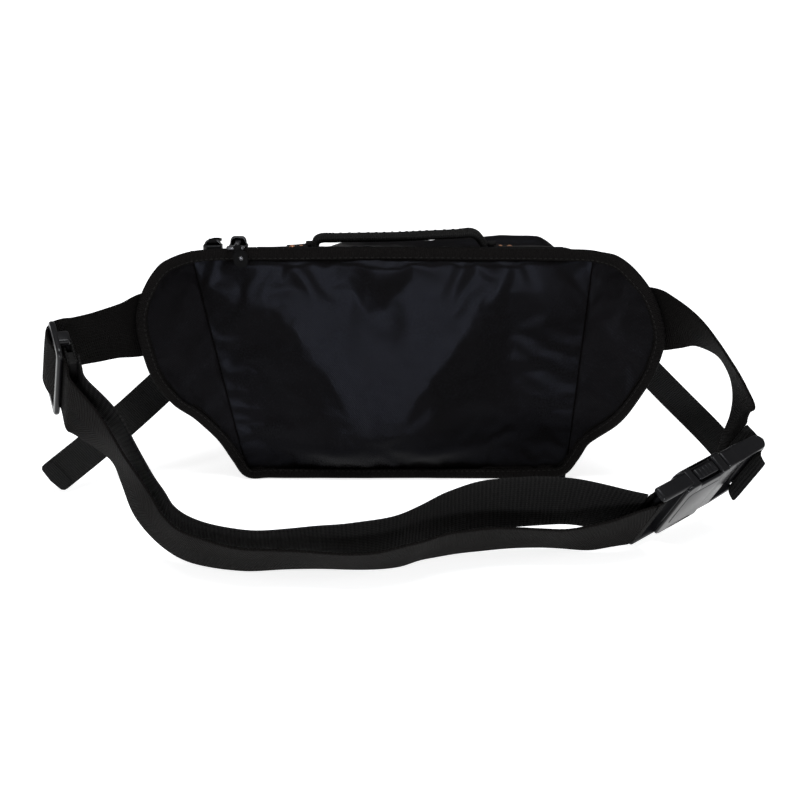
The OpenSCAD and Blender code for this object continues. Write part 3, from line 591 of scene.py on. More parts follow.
def rod(bm, start, end, radius, sides=16, round_end=0.3):
    """A round bar from start to end with softened ends."""
    start, end = Vector(start), Vector(end)
    run = end - start
    turn = run.to_track_quat("Z", "Y").to_matrix().to_4x4()
    made = bmesh.ops.create_cone(bm, cap_ends=True, segments=sides, radius1=radius, radius2=radius,
                                 depth=run.length)["verts"]
    if round_end:
        made = round_edges(bm, level_edges(made), round_end)
        made = {v for seed in made for v in seed.link_edges[0].verts} | set(made)
    put(bm, made, Matrix.Translation((start + end) / 2) @ turn)


def stitches(name, places, body="pack", length=2.4, thick=0.42):
    """Rows of thread: places hold a middle, the direction of the thread and the way out of the cloth."""
    bm = bmesh.new()
    for middle, along, out in places:
        along, out = Vector(along).normalized(), Vector(out).normalized()
        side = along.cross(out).normalized()
        turn = Matrix((along, side, out)).transposed().to_4x4()
        size = Matrix.Diagonal((length / 2, thick / 2, thick / 2, 1))
        bmesh.ops.create_uvsphere(bm, u_segments=6, v_segments=4, radius=1,
                                  matrix=Matrix.Translation(Vector(middle)) @ turn @ size)
    mesh(name, bm, "thread", body)


# ---- the body's outline, from the frame ----
BASE = box_mm("base_panel")
BACK = box_mm("back_panel")
FRONT = box_mm("front_panel")
LID = box_mm("top_lid")
BACK_Y = BASE[0].y
INNER_Y = BACK[1].y
FRONT_Y = FRONT[1].y
BASE_Z = BASE[1].z
BACK_Z = BACK[1].z
FRONT_Z = FRONT[1].z
FRONT_FOOT = (-88, 92)
ZIP_TAPES = box_mm("rear_zip_tape")[0], box_mm("lid_zip_tape")[1]
ZIP_Z = ZIP_TAPES[1].z
HINGE_Z = 118.2
TOP_PROFILE = [[BACK_Y, BACK_Z + 1], [ZIP_TAPES[0].y, ZIP_Z], [ZIP_TAPES[1].y, ZIP_Z], [-14, ZIP_Z - 2.8],
               [-8, ZIP_Z - 3.6], [2, ZIP_Z - 6], [15, ZIP_Z - 10], [27, ZIP_Z - 14], [FRONT_Y, HINGE_Z]]
FABRIC = 1.6
SHOULDER = 3.4
LEFT, RIGHT = 0, 1
DRAWN_HEIGHT = 137


def to_height(rows):
    """Rows drawn for the drawn height, stretched to the back panel's real height."""
    share = BACK_Z / DRAWN_HEIGHT
    return [[x, y, *[height * share for height in heights]] for x, y, *heights in rows]


def seam_x(side, z):
    """Where the back panel meets a wing."""
    return mix((BASE[0].x, BASE[1].x)[side], (BACK[0].x, BACK[1].x)[side], (z - BASE_Z) / (BACK_Z - BASE_Z))


def front_x(side, z):
    """The front panel's end at a height."""
    return mix(FRONT_FOOT[side], (FRONT[0].x, FRONT[1].x)[side], (z - BASE_Z) / (FRONT_Z - BASE_Z))


def side_x(side, y, v):
    """A gusset's place between back and front, v from its foot to its top."""
    k = (y - INNER_Y) / (FRONT_Y - INNER_Y)
    return mix(seam_x(side, mix(BASE_Z, BACK_Z, v)), front_x(side, mix(BASE_Z, FRONT_Z, v)), k)


def top_z(y):
    """The top profile's height."""
    for (y0, z0), (y1, z1) in zip(TOP_PROFILE, TOP_PROFILE[1:]):
        if y <= y1:
            return mix(z0, z1, (y - y0) / (y1 - y0))
    return TOP_PROFILE[-1][1]


def shoulder(x, y):
    """How far the top is rounded down towards its ends, with a full stretch in front of the handle."""
    left, right = side_x(LEFT, y, 1), side_x(RIGHT, y, 1)
    ends = SHOULDER * (hill(x, left, 22) + hill(x, right, 15)) * ease((y + 48) / 10)
    stretch = (5.4 + 2.8 * ease((x - 15) / 45)) * ease((x + 50) / 24) * ease((100 - x) / 18)
    return ends - stretch * ease((y - 2) / 11) * ease((40 - y) / 12)


def ripple(x, y, z, scale, seed=0.0):
    """Soft unevenness of about that size, between -1 and 1."""
    return noise.noise(Vector((x / scale, y / scale + seed, z / scale)))


def bump(x, y, x_middle, y_middle, x_width, y_width):
    """A round rise: 1 at its middle."""
    return math.exp(-((x - x_middle) / x_width) ** 2 - ((y - y_middle) / y_width) ** 2)


def crease(x, z, start, end, width):
    """A fold line's profile: 1 along the line from start to end, fading at its sides and its far end."""
    run = Vector(end) - Vector(start)
    here = Vector((x, z)) - Vector(start)
    along = here.dot(run) / run.length_squared
    off = (here - run * along).length
    return math.exp(-(off / width) ** 2) * ease(1.15 - along) * ease(along * 4 + 0.4)


# ---- back panel and wings ----
# The taut band of the back panel: at each height, how far it reaches left and right.
TAUT_BAND = ((4, -80, 66), (14, -70, 52), (30, -56, 40), (44, -48, 27), (68, -48, 24), (78, -53, 32), (88, -60, 44),
             (104, -72, 48), (122, -90, 58), (140, -96, 62))

BAND_TOP, BAND_START, BAND_STEP = 134.0, 3.6, 4.0
TAUT_SLOPES = 0.045, 0.11
SLACK_SLOPE, LEAST_RELIEF = -0.05, -1.4


def taut(x, z):
    """1 where the back panel's cloth is pulled tight, 0 where it is slack."""
    for (z0, left0, right0), (z1, left1, right1) in zip(TAUT_BAND, TAUT_BAND[1:]):
        if z <= z1:
            break
    share = min(max((z - z0) / (z1 - z0), 0), 1)
    wide = ease((x - mix(left0, left1, share)) / 26 + 0.5) * ease((mix(right0, right1, share) - x) / 26 + 0.5)
    return wide * ease((123 - z) / 12)


def back_relief(x, z):
    """How far the back panel's cloth stands out: tight cloth leans out on its way down, slack cloth falls back in."""
    u = (x - seam_x(LEFT, z)) / (seam_x(RIGHT, z) - seam_x(LEFT, z))
    v = (z - BASE_Z) / (BACK_Z - BASE_Z)
    edge = min(ease(u * 6), ease((1 - u) * 6)) * ease(v * 6.5) * ease((1 - v) * 18)
    body, level = BAND_START, BAND_TOP
    while level > z:
        drop = min(BAND_STEP, level - z)
        slope = mix(*TAUT_SLOPES, ease((level - 34) / 50))
        body = max(body + drop * mix(SLACK_SLOPE, slope, taut(x, level - drop / 2)), LEAST_RELIEF)
        level -= drop
    notch = 3.4 * bump(x, z, -10, 128, 17, 12) - 2.0 * bump(x, z, -10, 100, 11, 12)
    pulls = (1.5 * crease(x, z, (-62, 134), (-46, 110), 5) + 1.6 * crease(x, z, (38, 134), (26, 106), 5)
             + 1.2 * crease(x, z, (62, 134), (58, 112), 5) - 2.6 * bump(x, z, -6, 10, 12, 13))
    small = 0.5 * ripple(x, 0, z, 21, 3) + 0.25 * ripple(x, 0, z, 9, 8)
    pucker = 0.45 * ripple(x, 0, 0, 5.5, 1) * hill(v, 1, 0.14) + 0.3 * ripple(x, 0, 0, 6.5, 2) * hill(v, 0, 0.10)
    return edge * (0.8 + body + notch + pulls + small) + pucker


def back_panel():
    """The padded back panel with its taut band."""
    columns, rows = 110, 66

    def flat(u, v, y):
        z = mix(BASE_Z, BACK_Z, v)
        return Vector((mix(seam_x(LEFT, z), seam_x(RIGHT, z), u), y, z))

    def swollen(u, v):
        spot = flat(u, v, BACK_Y)
        spot.y -= back_relief(spot.x, spot.z)
        return spot
    settled = settle("back_cover", swollen, columns, rows, 0.008, 0.3, 3, 0.6)
    pad = sheet_piece("back_pad", settled, lambda u, v: flat(u, v, INNER_Y), columns, rows, (222, 136), "panel_cloth",
                      stands_for="back_panel")


LEFT_RIM = [[-96, -42, 9, 6], [-107, -45, 25, 20], [-120, -51, 41, 36], [-132, -57, 52, 50], [-142, -63, 68.5, 66],
            [-147, -67, 87.5, 84], [-149, -69, 107, 102], [-144, -65, 122.5, 117], [-136, -58, 133.5, 128],
            [-125, -49, 137, 134.5]]
RIGHT_RIM = [[103, -42, 9, 6], [111, -45.5, 22, 20], [129, -54, 39, 36], [139, -60, 56, 50], [147, -65, 75, 66],
             [150, -68, 95, 84], [144, -65, 117, 102], [133, -57, 131, 117], [124, -50, 136.5, 128],
             [117, -46, 137.5, 134.5]]
WING_THICK = 4


def wing(side, rim):
    """A padded wing between the back panel's end and its rim."""
    edge = smooth_through(to_height(rim), 12)

    def on_wing(k, v, back):
        spot = v * (len(edge) - 1)
        index = min(int(spot), len(edge) - 2)
        row = edge[index].lerp(edge[index + 1], spot - index)
        z = mix(row[3], row[2], k)
        x = mix(seam_x(side, row[3]), row[0], k)
        y = mix(BACK_Y, row[1], k * (0.6 + 0.4 * k))
        if back:
            return Vector((x, y + mix(INNER_Y - BACK_Y, WING_THICK, k), z))
        soft = math.sin(math.pi * k) ** 0.6 * math.sin(math.pi * v) ** 0.5
        fold = (1.6 * crease(x, z, (seam_x(side, 100), 100), (row[0], 60), 9) + 1.3 * ripple(x, y, z, 23, 5 + side)
                + 0.6 * ripple(x, y, z, 10, 9 + side))
        return Vector((x, y - soft * (0.9 + fold), z))
    name = "left_wing" if side == LEFT else "right_wing"
    push = 0.6 if side == RIGHT else -0.6
    settled = settle(name + "_cover", lambda u, v: on_wing(u, v, False), 24, 66, 0.014, push, 3, 0.5)
    pad = sheet_piece(name + "_pad", settled, lambda u, v: on_wing(u, v, True), 24, 66, (34, 150), "body_cloth",
                      stands_for=name)


def channel_outline(width, thick, tape=0.75, splits=5):
    """Tape folded over an edge: rounded on the outside, open on the inside."""
    half, rise = width / 2, thick / 2
    bend = rise
    outer = [(-half, rise), (mix(-half, half - bend, 0.5), rise + 0.12), (half - bend, rise)]
    outer += [(half - bend + bend * math.sin(a), rise * math.cos(a)) for a in
              [math.pi * (i + 1) / (splits + 1) for i in range(splits)]]
    outer += [(half - bend, -rise), (mix(-half, half - bend, 0.5), -rise - 0.12), (-half, -rise)]
    inner = [(-half, -rise + tape), (half - bend, -rise + tape), (half - tape, 0), (half - bend, rise - tape),
             (-half, rise - tape)]
    return outer + inner


BINDING_PATH = [[-91, -41.5, 4.2], [-97.5, -42, 13], [-105.5, -44.5, 27], [-118.5, -51, 43], [-130, -57, 54],
                [-139.5, -63, 70], [-144, -67, 88], [-146, -69, 106], [-141.5, -65, 120.5], [-134.5, -58, 130.5],
                [-125, -49.5, 134.6], [-112, -43.5, 136], [-60, -41.8, 136.4], [0, -41.8, 136.8], [60, -41.8, 136.4],
                [103, -43, 136], [113, -45, 135.4], [123, -50.5, 133.4], [130.5, -57, 128], [141, -65, 115.5],
                [147, -68, 95], [144, -65, 76], [136.5, -60, 58.5], [126.5, -54, 42], [110, -45.5, 25.5],
                [104.5, -43, 15], [97.5, -41.8, 5.8], [85, -41.5, 4.2], [0, -41.8, 4], [-78, -41.5, 4]]
FRONT_PATH = [[-76, 3.8], [-84.5, 5.4], [-87.4, 12], [-89, 25], [-92, 50], [-95.5, 78], [-98, 98], [-96.6, 108],
              [-89, 112], [-72, 112.6], [-40, 112.6], [40, 112.6], [72, 112.6], [89, 112], [96.6, 108], [98, 98],
              [96, 78], [94.5, 50], [92.6, 25], [91, 12], [88.5, 5.4], [80, 3.8], [62, 3.6], [0, 3.6], [-60, 3.6]]


BINDING_STITCH_GAP = 3.1


def bound_edge(name, rows, steps, width, thick, node, waver):
    """A binding tape round a closed edge, with its row of stitches near the inner side."""
    path = stations(rows, steps, closed=True, across=lambda along: along.cross(Vector((0, 1, 0))))

    def vary(s, n, station):
        wave = ripple(station.middle.x, station.middle.y, station.middle.z, 11, 4)
        inner = 1 if s < 0 else 0.35
        lump = ripple(station.middle.x, station.middle.y, station.middle.z, 4.5, 7)
        return s + wave * waver * inner, n * (1 + 0.10 * wave) + 0.22 * lump * (1 if n > 0 else -1)
    bm = bmesh.new()
    sweep(bm, path, channel_outline(width, thick), closed=True, vary=vary)
    soften(mesh(name, bm, "binding_tape", stands_for=node))
    row = -width / 2 + 1.3, thick / 2 + 0.12
    places, spot = [], 0.0
    for before, after in zip(path, path[1:]):
        while spot <= after.length:
            k = (spot - before.length) / max(after.length - before.length, 1e-6)
            places.append((before.at(*row).lerp(after.at(*row), k), after.along, after.out))
            spot += BINDING_STITCH_GAP
    stitches(name + "_stitches", places, length=2.3, thick=0.5)


# ---- gussets, base, front and pocket ----
def gusset(side):
    """The cloth at one end, between the back and the front panel."""
    outward = -1 if side == LEFT else 1

    def on_gusset(u, v, inset):
        y = mix(INNER_Y, FRONT_Y - FABRIC, u)
        soft = math.sin(math.pi * u) ** 0.7 * math.sin(math.pi * v) ** 0.7
        push = soft * (0.2 + 0.9 * abs(ripple(0, y, v * 130, 24, 11 + side))) if not inset else 0
        x = side_x(side, y, v)
        return Vector((x + outward * (push - inset), y, mix(BASE_Z, top_z(y) - shoulder(x, y) - FABRIC - 0.2, v)))
    name = "left_gusset" if side == LEFT else "right_gusset"
    piece = sheet_piece(name + "_cloth", lambda u, v: on_gusset(u, v, 0), lambda u, v: on_gusset(u, v, FABRIC),
                        26, 40, (74, 128), "body_cloth", stands_for=name)


def base_and_front():
    """The floor and the front panel, each one sheet."""
    def floor_cloth(u, v, lift):
        y = mix(BASE[0].y, BASE[1].y, v)
        k = (y - BASE[0].y) / (BASE[1].y - BASE[0].y)
        return Vector((mix(mix(BASE[0].x, FRONT_FOOT[0], k), mix(BASE[1].x, FRONT_FOOT[1], k), u), y, lift))
    base = sheet_piece("base_cloth", lambda u, v: floor_cloth(u, v, BASE[0].z), lambda u, v: floor_cloth(u, v, BASE_Z),
                       40, 16, (190, 78), "body_cloth", stands_for="base_panel")

    def front_cloth(u, v, y):
        z = mix(BASE_Z, FRONT_Z, v)
        x = mix(front_x(LEFT, z), front_x(RIGHT, z), u)
        sunk = 0.5 * abs(ripple(x, 0, z, 20, 21)) * math.sin(math.pi * u) * math.sin(math.pi * v)
        return Vector((x, y - sunk, z))
    front = sheet_piece("front_cloth", lambda u, v: front_cloth(u, v, FRONT_Y),
                        lambda u, v: front_cloth(u, v, FRONT_Y - FABRIC), 48, 28, (190, 114), "body_cloth",
                        stands_for="front_panel")


POCKET = box_mm("front_pocket")
POCKET_FLAT = 66


def pocket_y(x, z):
    """How far forward the pocket's lining stands."""
    low, high = POCKET
    rise = high.y - low.y - FABRIC
    return (low.y + rise * ease((high.x - abs(x)) / (high.x - POCKET_FLAT)) * ease((z - low.z) / 16)
            * ease((high.z - z) / 14))


def pocket():
    """The front pocket's cloth, sewn down round its edge."""
    low, high = POCKET

    def cloth(u, v, out):
        x, z = mix(low.x, high.x, u), mix(low.z, high.z, v)
        loose = math.sin(math.pi * u) ** 0.5 * math.sin(math.pi * v) ** 0.5 * (1 - hill(z, 82, 14) * 0.85)
        fold = loose * (ripple(x, 0, z, 24, 31) + 0.5 * ripple(x, 0, z, 10, 33)
                        + hill(z, 45, 40) * (1 - abs(u * 2 - 1)))
        return Vector((x, pocket_y(x, z) + out * FABRIC + fold, z))
    settled = settle("pocket_cover", lambda u, v: cloth(u, v, 1), 72, 44, 0.008, -0.5, 1.8, 0.5)
    piece = sheet_piece("pocket_cloth", settled, lambda u, v: cloth(u, v, 0), 72, 44, (175, 104), "body_cloth",
                        stands_for="front_pocket")
    places = []
    for x in range(int(low.x) + 3, int(high.x) - 2, 3):
        for z in (low.z + 1.6, high.z - 1.6):
            places.append((Vector((x, pocket_y(x, z) + FABRIC + 0.12, z)), (1, 0, 0), (0, 1, 0)))
    for z in range(int(low.z) + 3, int(high.z) - 2, 3):
        for x in (low.x + 1.6, high.x - 1.6):
            places.append((Vector((x, pocket_y(x, z) + FABRIC + 0.12, z)), (0, 0, 1), (0, 1, 0)))
    stitches("pocket_stitches", places, length=2.2, thick=0.45)


# ---- zips ----
TOOTH_PITCH = 1.5
TAPE_THICK = 0.9
SLIDER_PIN = 3.4
POCKET_EYE = 4.2


def teeth(name, start, end, z, y, lean, body="pack", out=(0, 0, 1), stands_for=(), drop=lambda x: 0):
    """A coil's loops along X, each a small flattened bead reaching towards the other half."""
    bm = bmesh.new()
    count = int((end - start) / TOOTH_PITCH)
    out = Vector(out)
    over = Vector((1, 0, 0)).cross(out)
    for i in range(count):
        x = start + TOOTH_PITCH * (i + 0.5 + (0.25 if lean > 0 else -0.25))
        spot = Vector((x, y, z)) - out * drop(x)
        turn = Matrix((Vector((1, 0, 0)), over, out)).transposed().to_4x4()
        size = Matrix.Diagonal((0.62, 1.15, 0.85, 1))
        bmesh.ops.create_uvsphere(bm, u_segments=8, v_segments=5, radius=1,
                                  matrix=Matrix.Translation(spot) @ turn @ Matrix.Rotation(lean * 0.18, 4, "Z") @ size)
    mesh(name, bm, "zip_coil", body, stands_for)


def zip_drop(x):
    """How far the top is rounded down where the zip runs."""
    return shoulder(x, ZIP_TAPES[1].y)


def zip_tape(name, node, body):
    """The tape that carries one half of the top zip."""
    low, high = box_mm(node)

    def surface(u, v, rise):
        x = mix(low.x, high.x, u)
        return Vector((x, mix(low.y, high.y, v), high.z + rise - zip_drop(x)))
    sheet_piece(name, lambda u, v: surface(u, v, 0.15 * ripple(mix(low.x, high.x, u), 0, v * 3, 12, 3)),
                lambda u, v: surface(u, v, -TAPE_THICK), 60, 4, (high.x - low.x, high.y - low.y), "zip_tape", body,
                node, soft=0)


def top_zip():
    """The zip between the rear strip and the lid: tapes, teeth, cords and end stops."""
    zip_tape("rear_tape", "rear_zip_tape", "pack")
    zip_tape("lid_tape", "lid_zip_tape", "lid")
    rear_coil, front_coil = box_mm("rear_coil"), box_mm("lid_coil")
    middle = (rear_coil[0].z + rear_coil[1].z) / 2
    teeth("rear_teeth", rear_coil[0].x, rear_coil[1].x, middle, rear_coil[1].y - 0.75, -1, stands_for="rear_coil",
          drop=zip_drop)
    teeth("lid_teeth", front_coil[0].x, front_coil[1].x, middle, front_coil[0].y + 0.75, 1, body="lid",
          stands_for="lid_coil")
    for name, body, x0, x1, y in (("rear_coil_cord", "pack", LID[0].x - 12, LID[1].x, rear_coil[0].y + 0.3),
                                  ("lid_coil_cord", "lid", front_coil[0].x, front_coil[1].x, front_coil[1].y - 0.3)):
        bm = bmesh.new()
        rod(bm, (x0, y, middle), (x1, y, middle), 0.55, 8)
        mesh(name, bm, "zip_coil", body)
    for node in ("zip_stop_left", "zip_stop_right"):
        low, high = box_mm(node)
        bm = bmesh.new()
        drop = zip_drop(low.x) + 0.4
        block(bm, (low.x, high.x), (low.y - 0.6, high.y + 0.6), (low.z - 1.4 - drop, high.z - drop), 0.35)
        mesh(node + "_clip", bm, "slider_metal", stands_for=node)


# ---- top cloth ----
def top_cloth(name, node, x_left, x_right, y0, y1, body, columns, rows, sag, slack=0.0):
    """Cloth over the top profile between two sides, given as functions of y."""
    def surface(u, v, drop):
        y = mix(y0, y1, v)
        x = mix(x_left(y), x_right(y), u)
        return Vector((x, y, top_z(y) - shoulder(x, y) - drop + (sag(x, y, u, v) if not drop else 0)))
    width = x_right(y0) - x_left(y0)
    length = sum(math.hypot(a, top_z(mix(y0, y1, (i + 1) / 12)) - top_z(mix(y0, y1, i / 12)))
                 for i, a in enumerate([(y1 - y0) / 12] * 12))
    face = lambda u, v: surface(u, v, 0)
    if slack:
        face = settle(name + "_cover", face, columns, rows, slack, 0.4, 1.6, 0.5)
    piece = sheet_piece(name, face, lambda u, v: surface(u, v, FABRIC), columns, rows, (width, length), "body_cloth",
                        body, node)
    return piece, width, length


def lid_relief(x, y, u, v):
    """Slack in the lid: a low swell to the right, folds across, and flat where the handle is fixed."""
    loose = math.sin(math.pi * u) ** 0.5 * math.sin(math.pi * v) ** 0.5
    held = 1 - 0.95 * max(bump(x, y, -58, -8, 14, 9), bump(x, y, 59, -8, 14, 9))
    folds = 0.3 + 1.4 * ripple(x, y, 0, 26, 41) + 0.7 * ripple(x, y, 0, 11, 43)
    return loose * held * folds + 1.2 * held * loose * hill(x, 84, 30)


HINGE_CLOTH = 22


def lid_hinge():
    """The strip of cloth inside that joins the front panel's top edge to the lid."""
    bend = [Vector((0, y, z)) for y, z in ((FRONT_Y - 2.3, HINGE_Z - 11), (FRONT_Y - 2.2, HINGE_Z - 1.4),
                                           (FRONT_Y - 4.4, top_z(FRONT_Y - 4.4) - 2.6),
                                           (FRONT_Y - 13, top_z(FRONT_Y - 13) - 2.9))]

    def surface(u, v, thick):
        step = min(int(v * 3), 2)
        spot = bend[step].lerp(bend[step + 1], v * 3 - step)
        return Vector((mix(LID[0].x + 1.5, LID[1].x - 1.5, u), spot.y - thick, spot.z - thick))
    width = LID[1].x - LID[0].x - 3
    strip = sheet_piece("lid_hinge_strip", lambda u, v: surface(u, v, 0), lambda u, v: surface(u, v, 0.5), 40, 24,
                        (width, HINGE_CLOTH), "body_cloth", body=None, soft=0)
    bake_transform(strip)


def top():
    """The cloth over the top: the rear strip, the lid and the two fixed ends."""
    rear = box_mm("top_rear_strip")
    top_cloth("rear_strip_cloth", "top_rear_strip", lambda y: rear[0].x, lambda y: rear[1].x, rear[0].y, rear[1].y,
              "pack", 70, 3, lambda x, y, u, v: 0)
    piece, width, length = top_cloth("lid_cloth", "top_lid", lambda y: LID[0].x, lambda y: LID[1].x, LID[0].y, LID[1].y,
                                     "lid", 84, 34, lid_relief, 0.006)
    width * MM
    length * MM
    lid_hinge()

    def end_sag(x, y, u, v):
        return 0.5 * math.sin(math.pi * u) * math.sin(math.pi * v) * ripple(x, y, 0, 14, 51)
    for side, name in ((LEFT, "top_end_left"), (RIGHT, "top_end_right")):
        low, high = box_mm(name)
        edge = lambda y, side=side: side_x(side, y, 1)
        cut = (lambda y, x=high.x: x) if side == LEFT else (lambda y, x=low.x: x)
        ends = (edge, cut) if side == LEFT else (cut, edge)
        piece, width, length = top_cloth(name + "_cloth", name, *ends, low.y, high.y, "pack", 14, 34, end_sag)
        width * MM
        length * MM


# ---- handle with its patches and caps ----
HANDLE = box_mm("handle")
HANDLE_Y = (HANDLE[0].y + HANDLE[1].y) / 2
HANDLE_FOOT = 7.2
HANDLE_WIDTH, HANDLE_THICK = 11.6, 4.4
PIVOT_Z = box_mm("handle_anchor_left")[1].z - 2.4


def handle():
    """The webbing handle on its two bars, and the patches and rivets that hold it to the lid."""
    left, right = HANDLE[0].x + HANDLE_FOOT, HANDLE[1].x - HANDLE_FOOT
    rises = [(left - 1.6, -1.2), (left - 1.2, 0.6), (left - 0.4, 2.2), (left + 2.4, 3.4), (left + 9, 3.6),
             (left + 30, 4.0), (0, 4.5), (right - 34, 5.2), (right - 14, 6.2), (right - 8, 6.6), (right - 4.6, 5.2),
             (right - 1.8, 2.0), (right + 0.6, -1.0)]
    rows = [[x, HANDLE_Y, PIVOT_Z + rise] for x, rise in rises]
    path = stations(rows, 8, across=lambda along: Vector((0, 1, 0)))
    bm = bmesh.new()
    sweep(bm, path, flat_outline(HANDLE_WIDTH, HANDLE_THICK, 6, 0.2), vary=limp(3.3, 0.2, 0.15))
    for x0, x1 in ((HANDLE[0].x, left + 1), (right - 1, HANDLE[1].x)):
        rod(bm, (x0, HANDLE_Y, PIVOT_Z), (x1, HANDLE_Y, PIVOT_Z), 1.2, 14)
    soften(mesh("handle_strap", bm, "narrow_webbing", "handle", "handle"))
    rise = HANDLE_THICK / 2 + 0.02
    places = [(station.at(s, -rise if station.out.z < 0 else rise), station.along, station.out)
              for station in path[10:-9:2] for s in (-3.9, 3.9)]
    stitches("handle_stitches", places, body="handle", length=2.0, thick=0.34)
    for side, node, rivets in ((-1, "handle_anchor_left", "rivets_left"), (1, "handle_anchor_right", "rivets_right")):
        low, high = box_mm(node)
        hub = low.x if side > 0 else high.x
        end = (high.x + 12) if side > 0 else (low.x - 12)
        lid_z = top_z(HANDLE_Y) - shoulder(end, HANDLE_Y) + 0.4
        rows = [[end, HANDLE_Y, lid_z - 0.1], [mix(end, hub, 0.3), HANDLE_Y, lid_z + 0.1],
                [mix(end, hub, 0.62), HANDLE_Y, lid_z + 0.6], [mix(end, hub, 0.8), HANDLE_Y, lid_z + 1.0]]
        bm = bmesh.new()
        patch = stations(rows, 6, across=lambda along: Vector((0, 1, 0)))
        sweep(bm, patch, flat_outline(11.5, 1.3, 8, 0.1))
        plate(bm, rounded([(end - side, HANDLE_Y - 7, 1.5), (end - side, HANDLE_Y + 7, 1.5), (hub, HANDLE_Y + 7, 1.5),
                           (hub, HANDLE_Y - 7, 1.5)][::side]), lid_z - 0.9, lid_z - 0.2, 0.2, 2)
        rod(bm, (low.x, HANDLE_Y, PIVOT_Z), (high.x, HANDLE_Y, PIVOT_Z), 1.9, 20, 0.5)
        soften(mesh(node + "_patch", bm, "narrow_webbing", "lid", node))
        low, high = box_mm(rivets)
        bm = bmesh.new()
        for x in (low.x + 2.1, high.x - 2.1):
            crown = Matrix.Translation((x, HANDLE_Y, lid_z + 0.8)) @ Matrix.Diagonal((1.5, 1.5, 0.7, 1))
            bmesh.ops.create_uvsphere(bm, u_segments=20, v_segments=10, radius=1, matrix=crown)
            rod(bm, (x, HANDLE_Y, lid_z - 0.6), (x, HANDLE_Y, lid_z + 0.9), 1.8, 20, 0.3)
        mesh(rivets + "_caps", bm, "rivet_copper", "lid", rivets)


# ---- sliders and pulls ----
def slider_body(name, node, body, place, length=11, rise=5.2, sunk=0.0):
    """A cast slider: a waisted plate, an arched bridge open underneath, and the pin that the pull turns on."""
    bm = bmesh.new()
    half = length / 2
    top = rounded(mirrored([(-half, -2.6, 1.2), (-half + 2.4, -4.3, 1.2), (half, -3.6, 1.6)]), 4)
    plate(bm, top, -sunk, 1.5, 0.45, 3, place)
    turn = place.to_3x3()
    arch = rounded([(-half + 0.4, 0.8, 0.2), (-half + 1.3, rise, 2.6), (half - 1.3, rise, 2.6), (half - 0.4, 0.8, 0.2),
                    (half - 1.6, 0.8, 0.2), (half - 2.4, rise - 1.1, 1.6), (2.4 - half, rise - 1.1, 1.6),
                    (1.6 - half, 0.8, 0.2)], 5)
    upright = Frame(place @ Vector((0, 1.2, 0)), turn @ Vector((1, 0, 0)), turn @ Vector((0, 0, 1)))
    plate(bm, arch, 0, 2.4, 0.4, 3, upright.matrix)
    rod(bm, place @ Vector((-3.6, 0, SLIDER_PIN)), place @ Vector((3.6, 0, SLIDER_PIN)), 0.5, 12)
    mesh(name, bm, "slider_metal", body, node)


def ribbed_pull(node, place, side, bars, eye, thick, grip):
    """A moulded pull with bars across its grip: one side of its outline, and an eye that turns on the slider's pin."""
    bm = bmesh.new()
    rod(bm, place.at(0, -eye, 0), place.at(0, eye, 0), 1.6, 18)
    plate(bm, rounded(mirrored(side), 5), -thick, thick, 0.4, 3, place.matrix)
    for s in bars:
        block(bm, (s - 0.4, s + 0.4), (-grip, grip), (-thick - 0.3, thick + 0.3), 0.3, 2, place.matrix)
    mesh(node + "_moulded", bm, "pull_plastic", node, node)


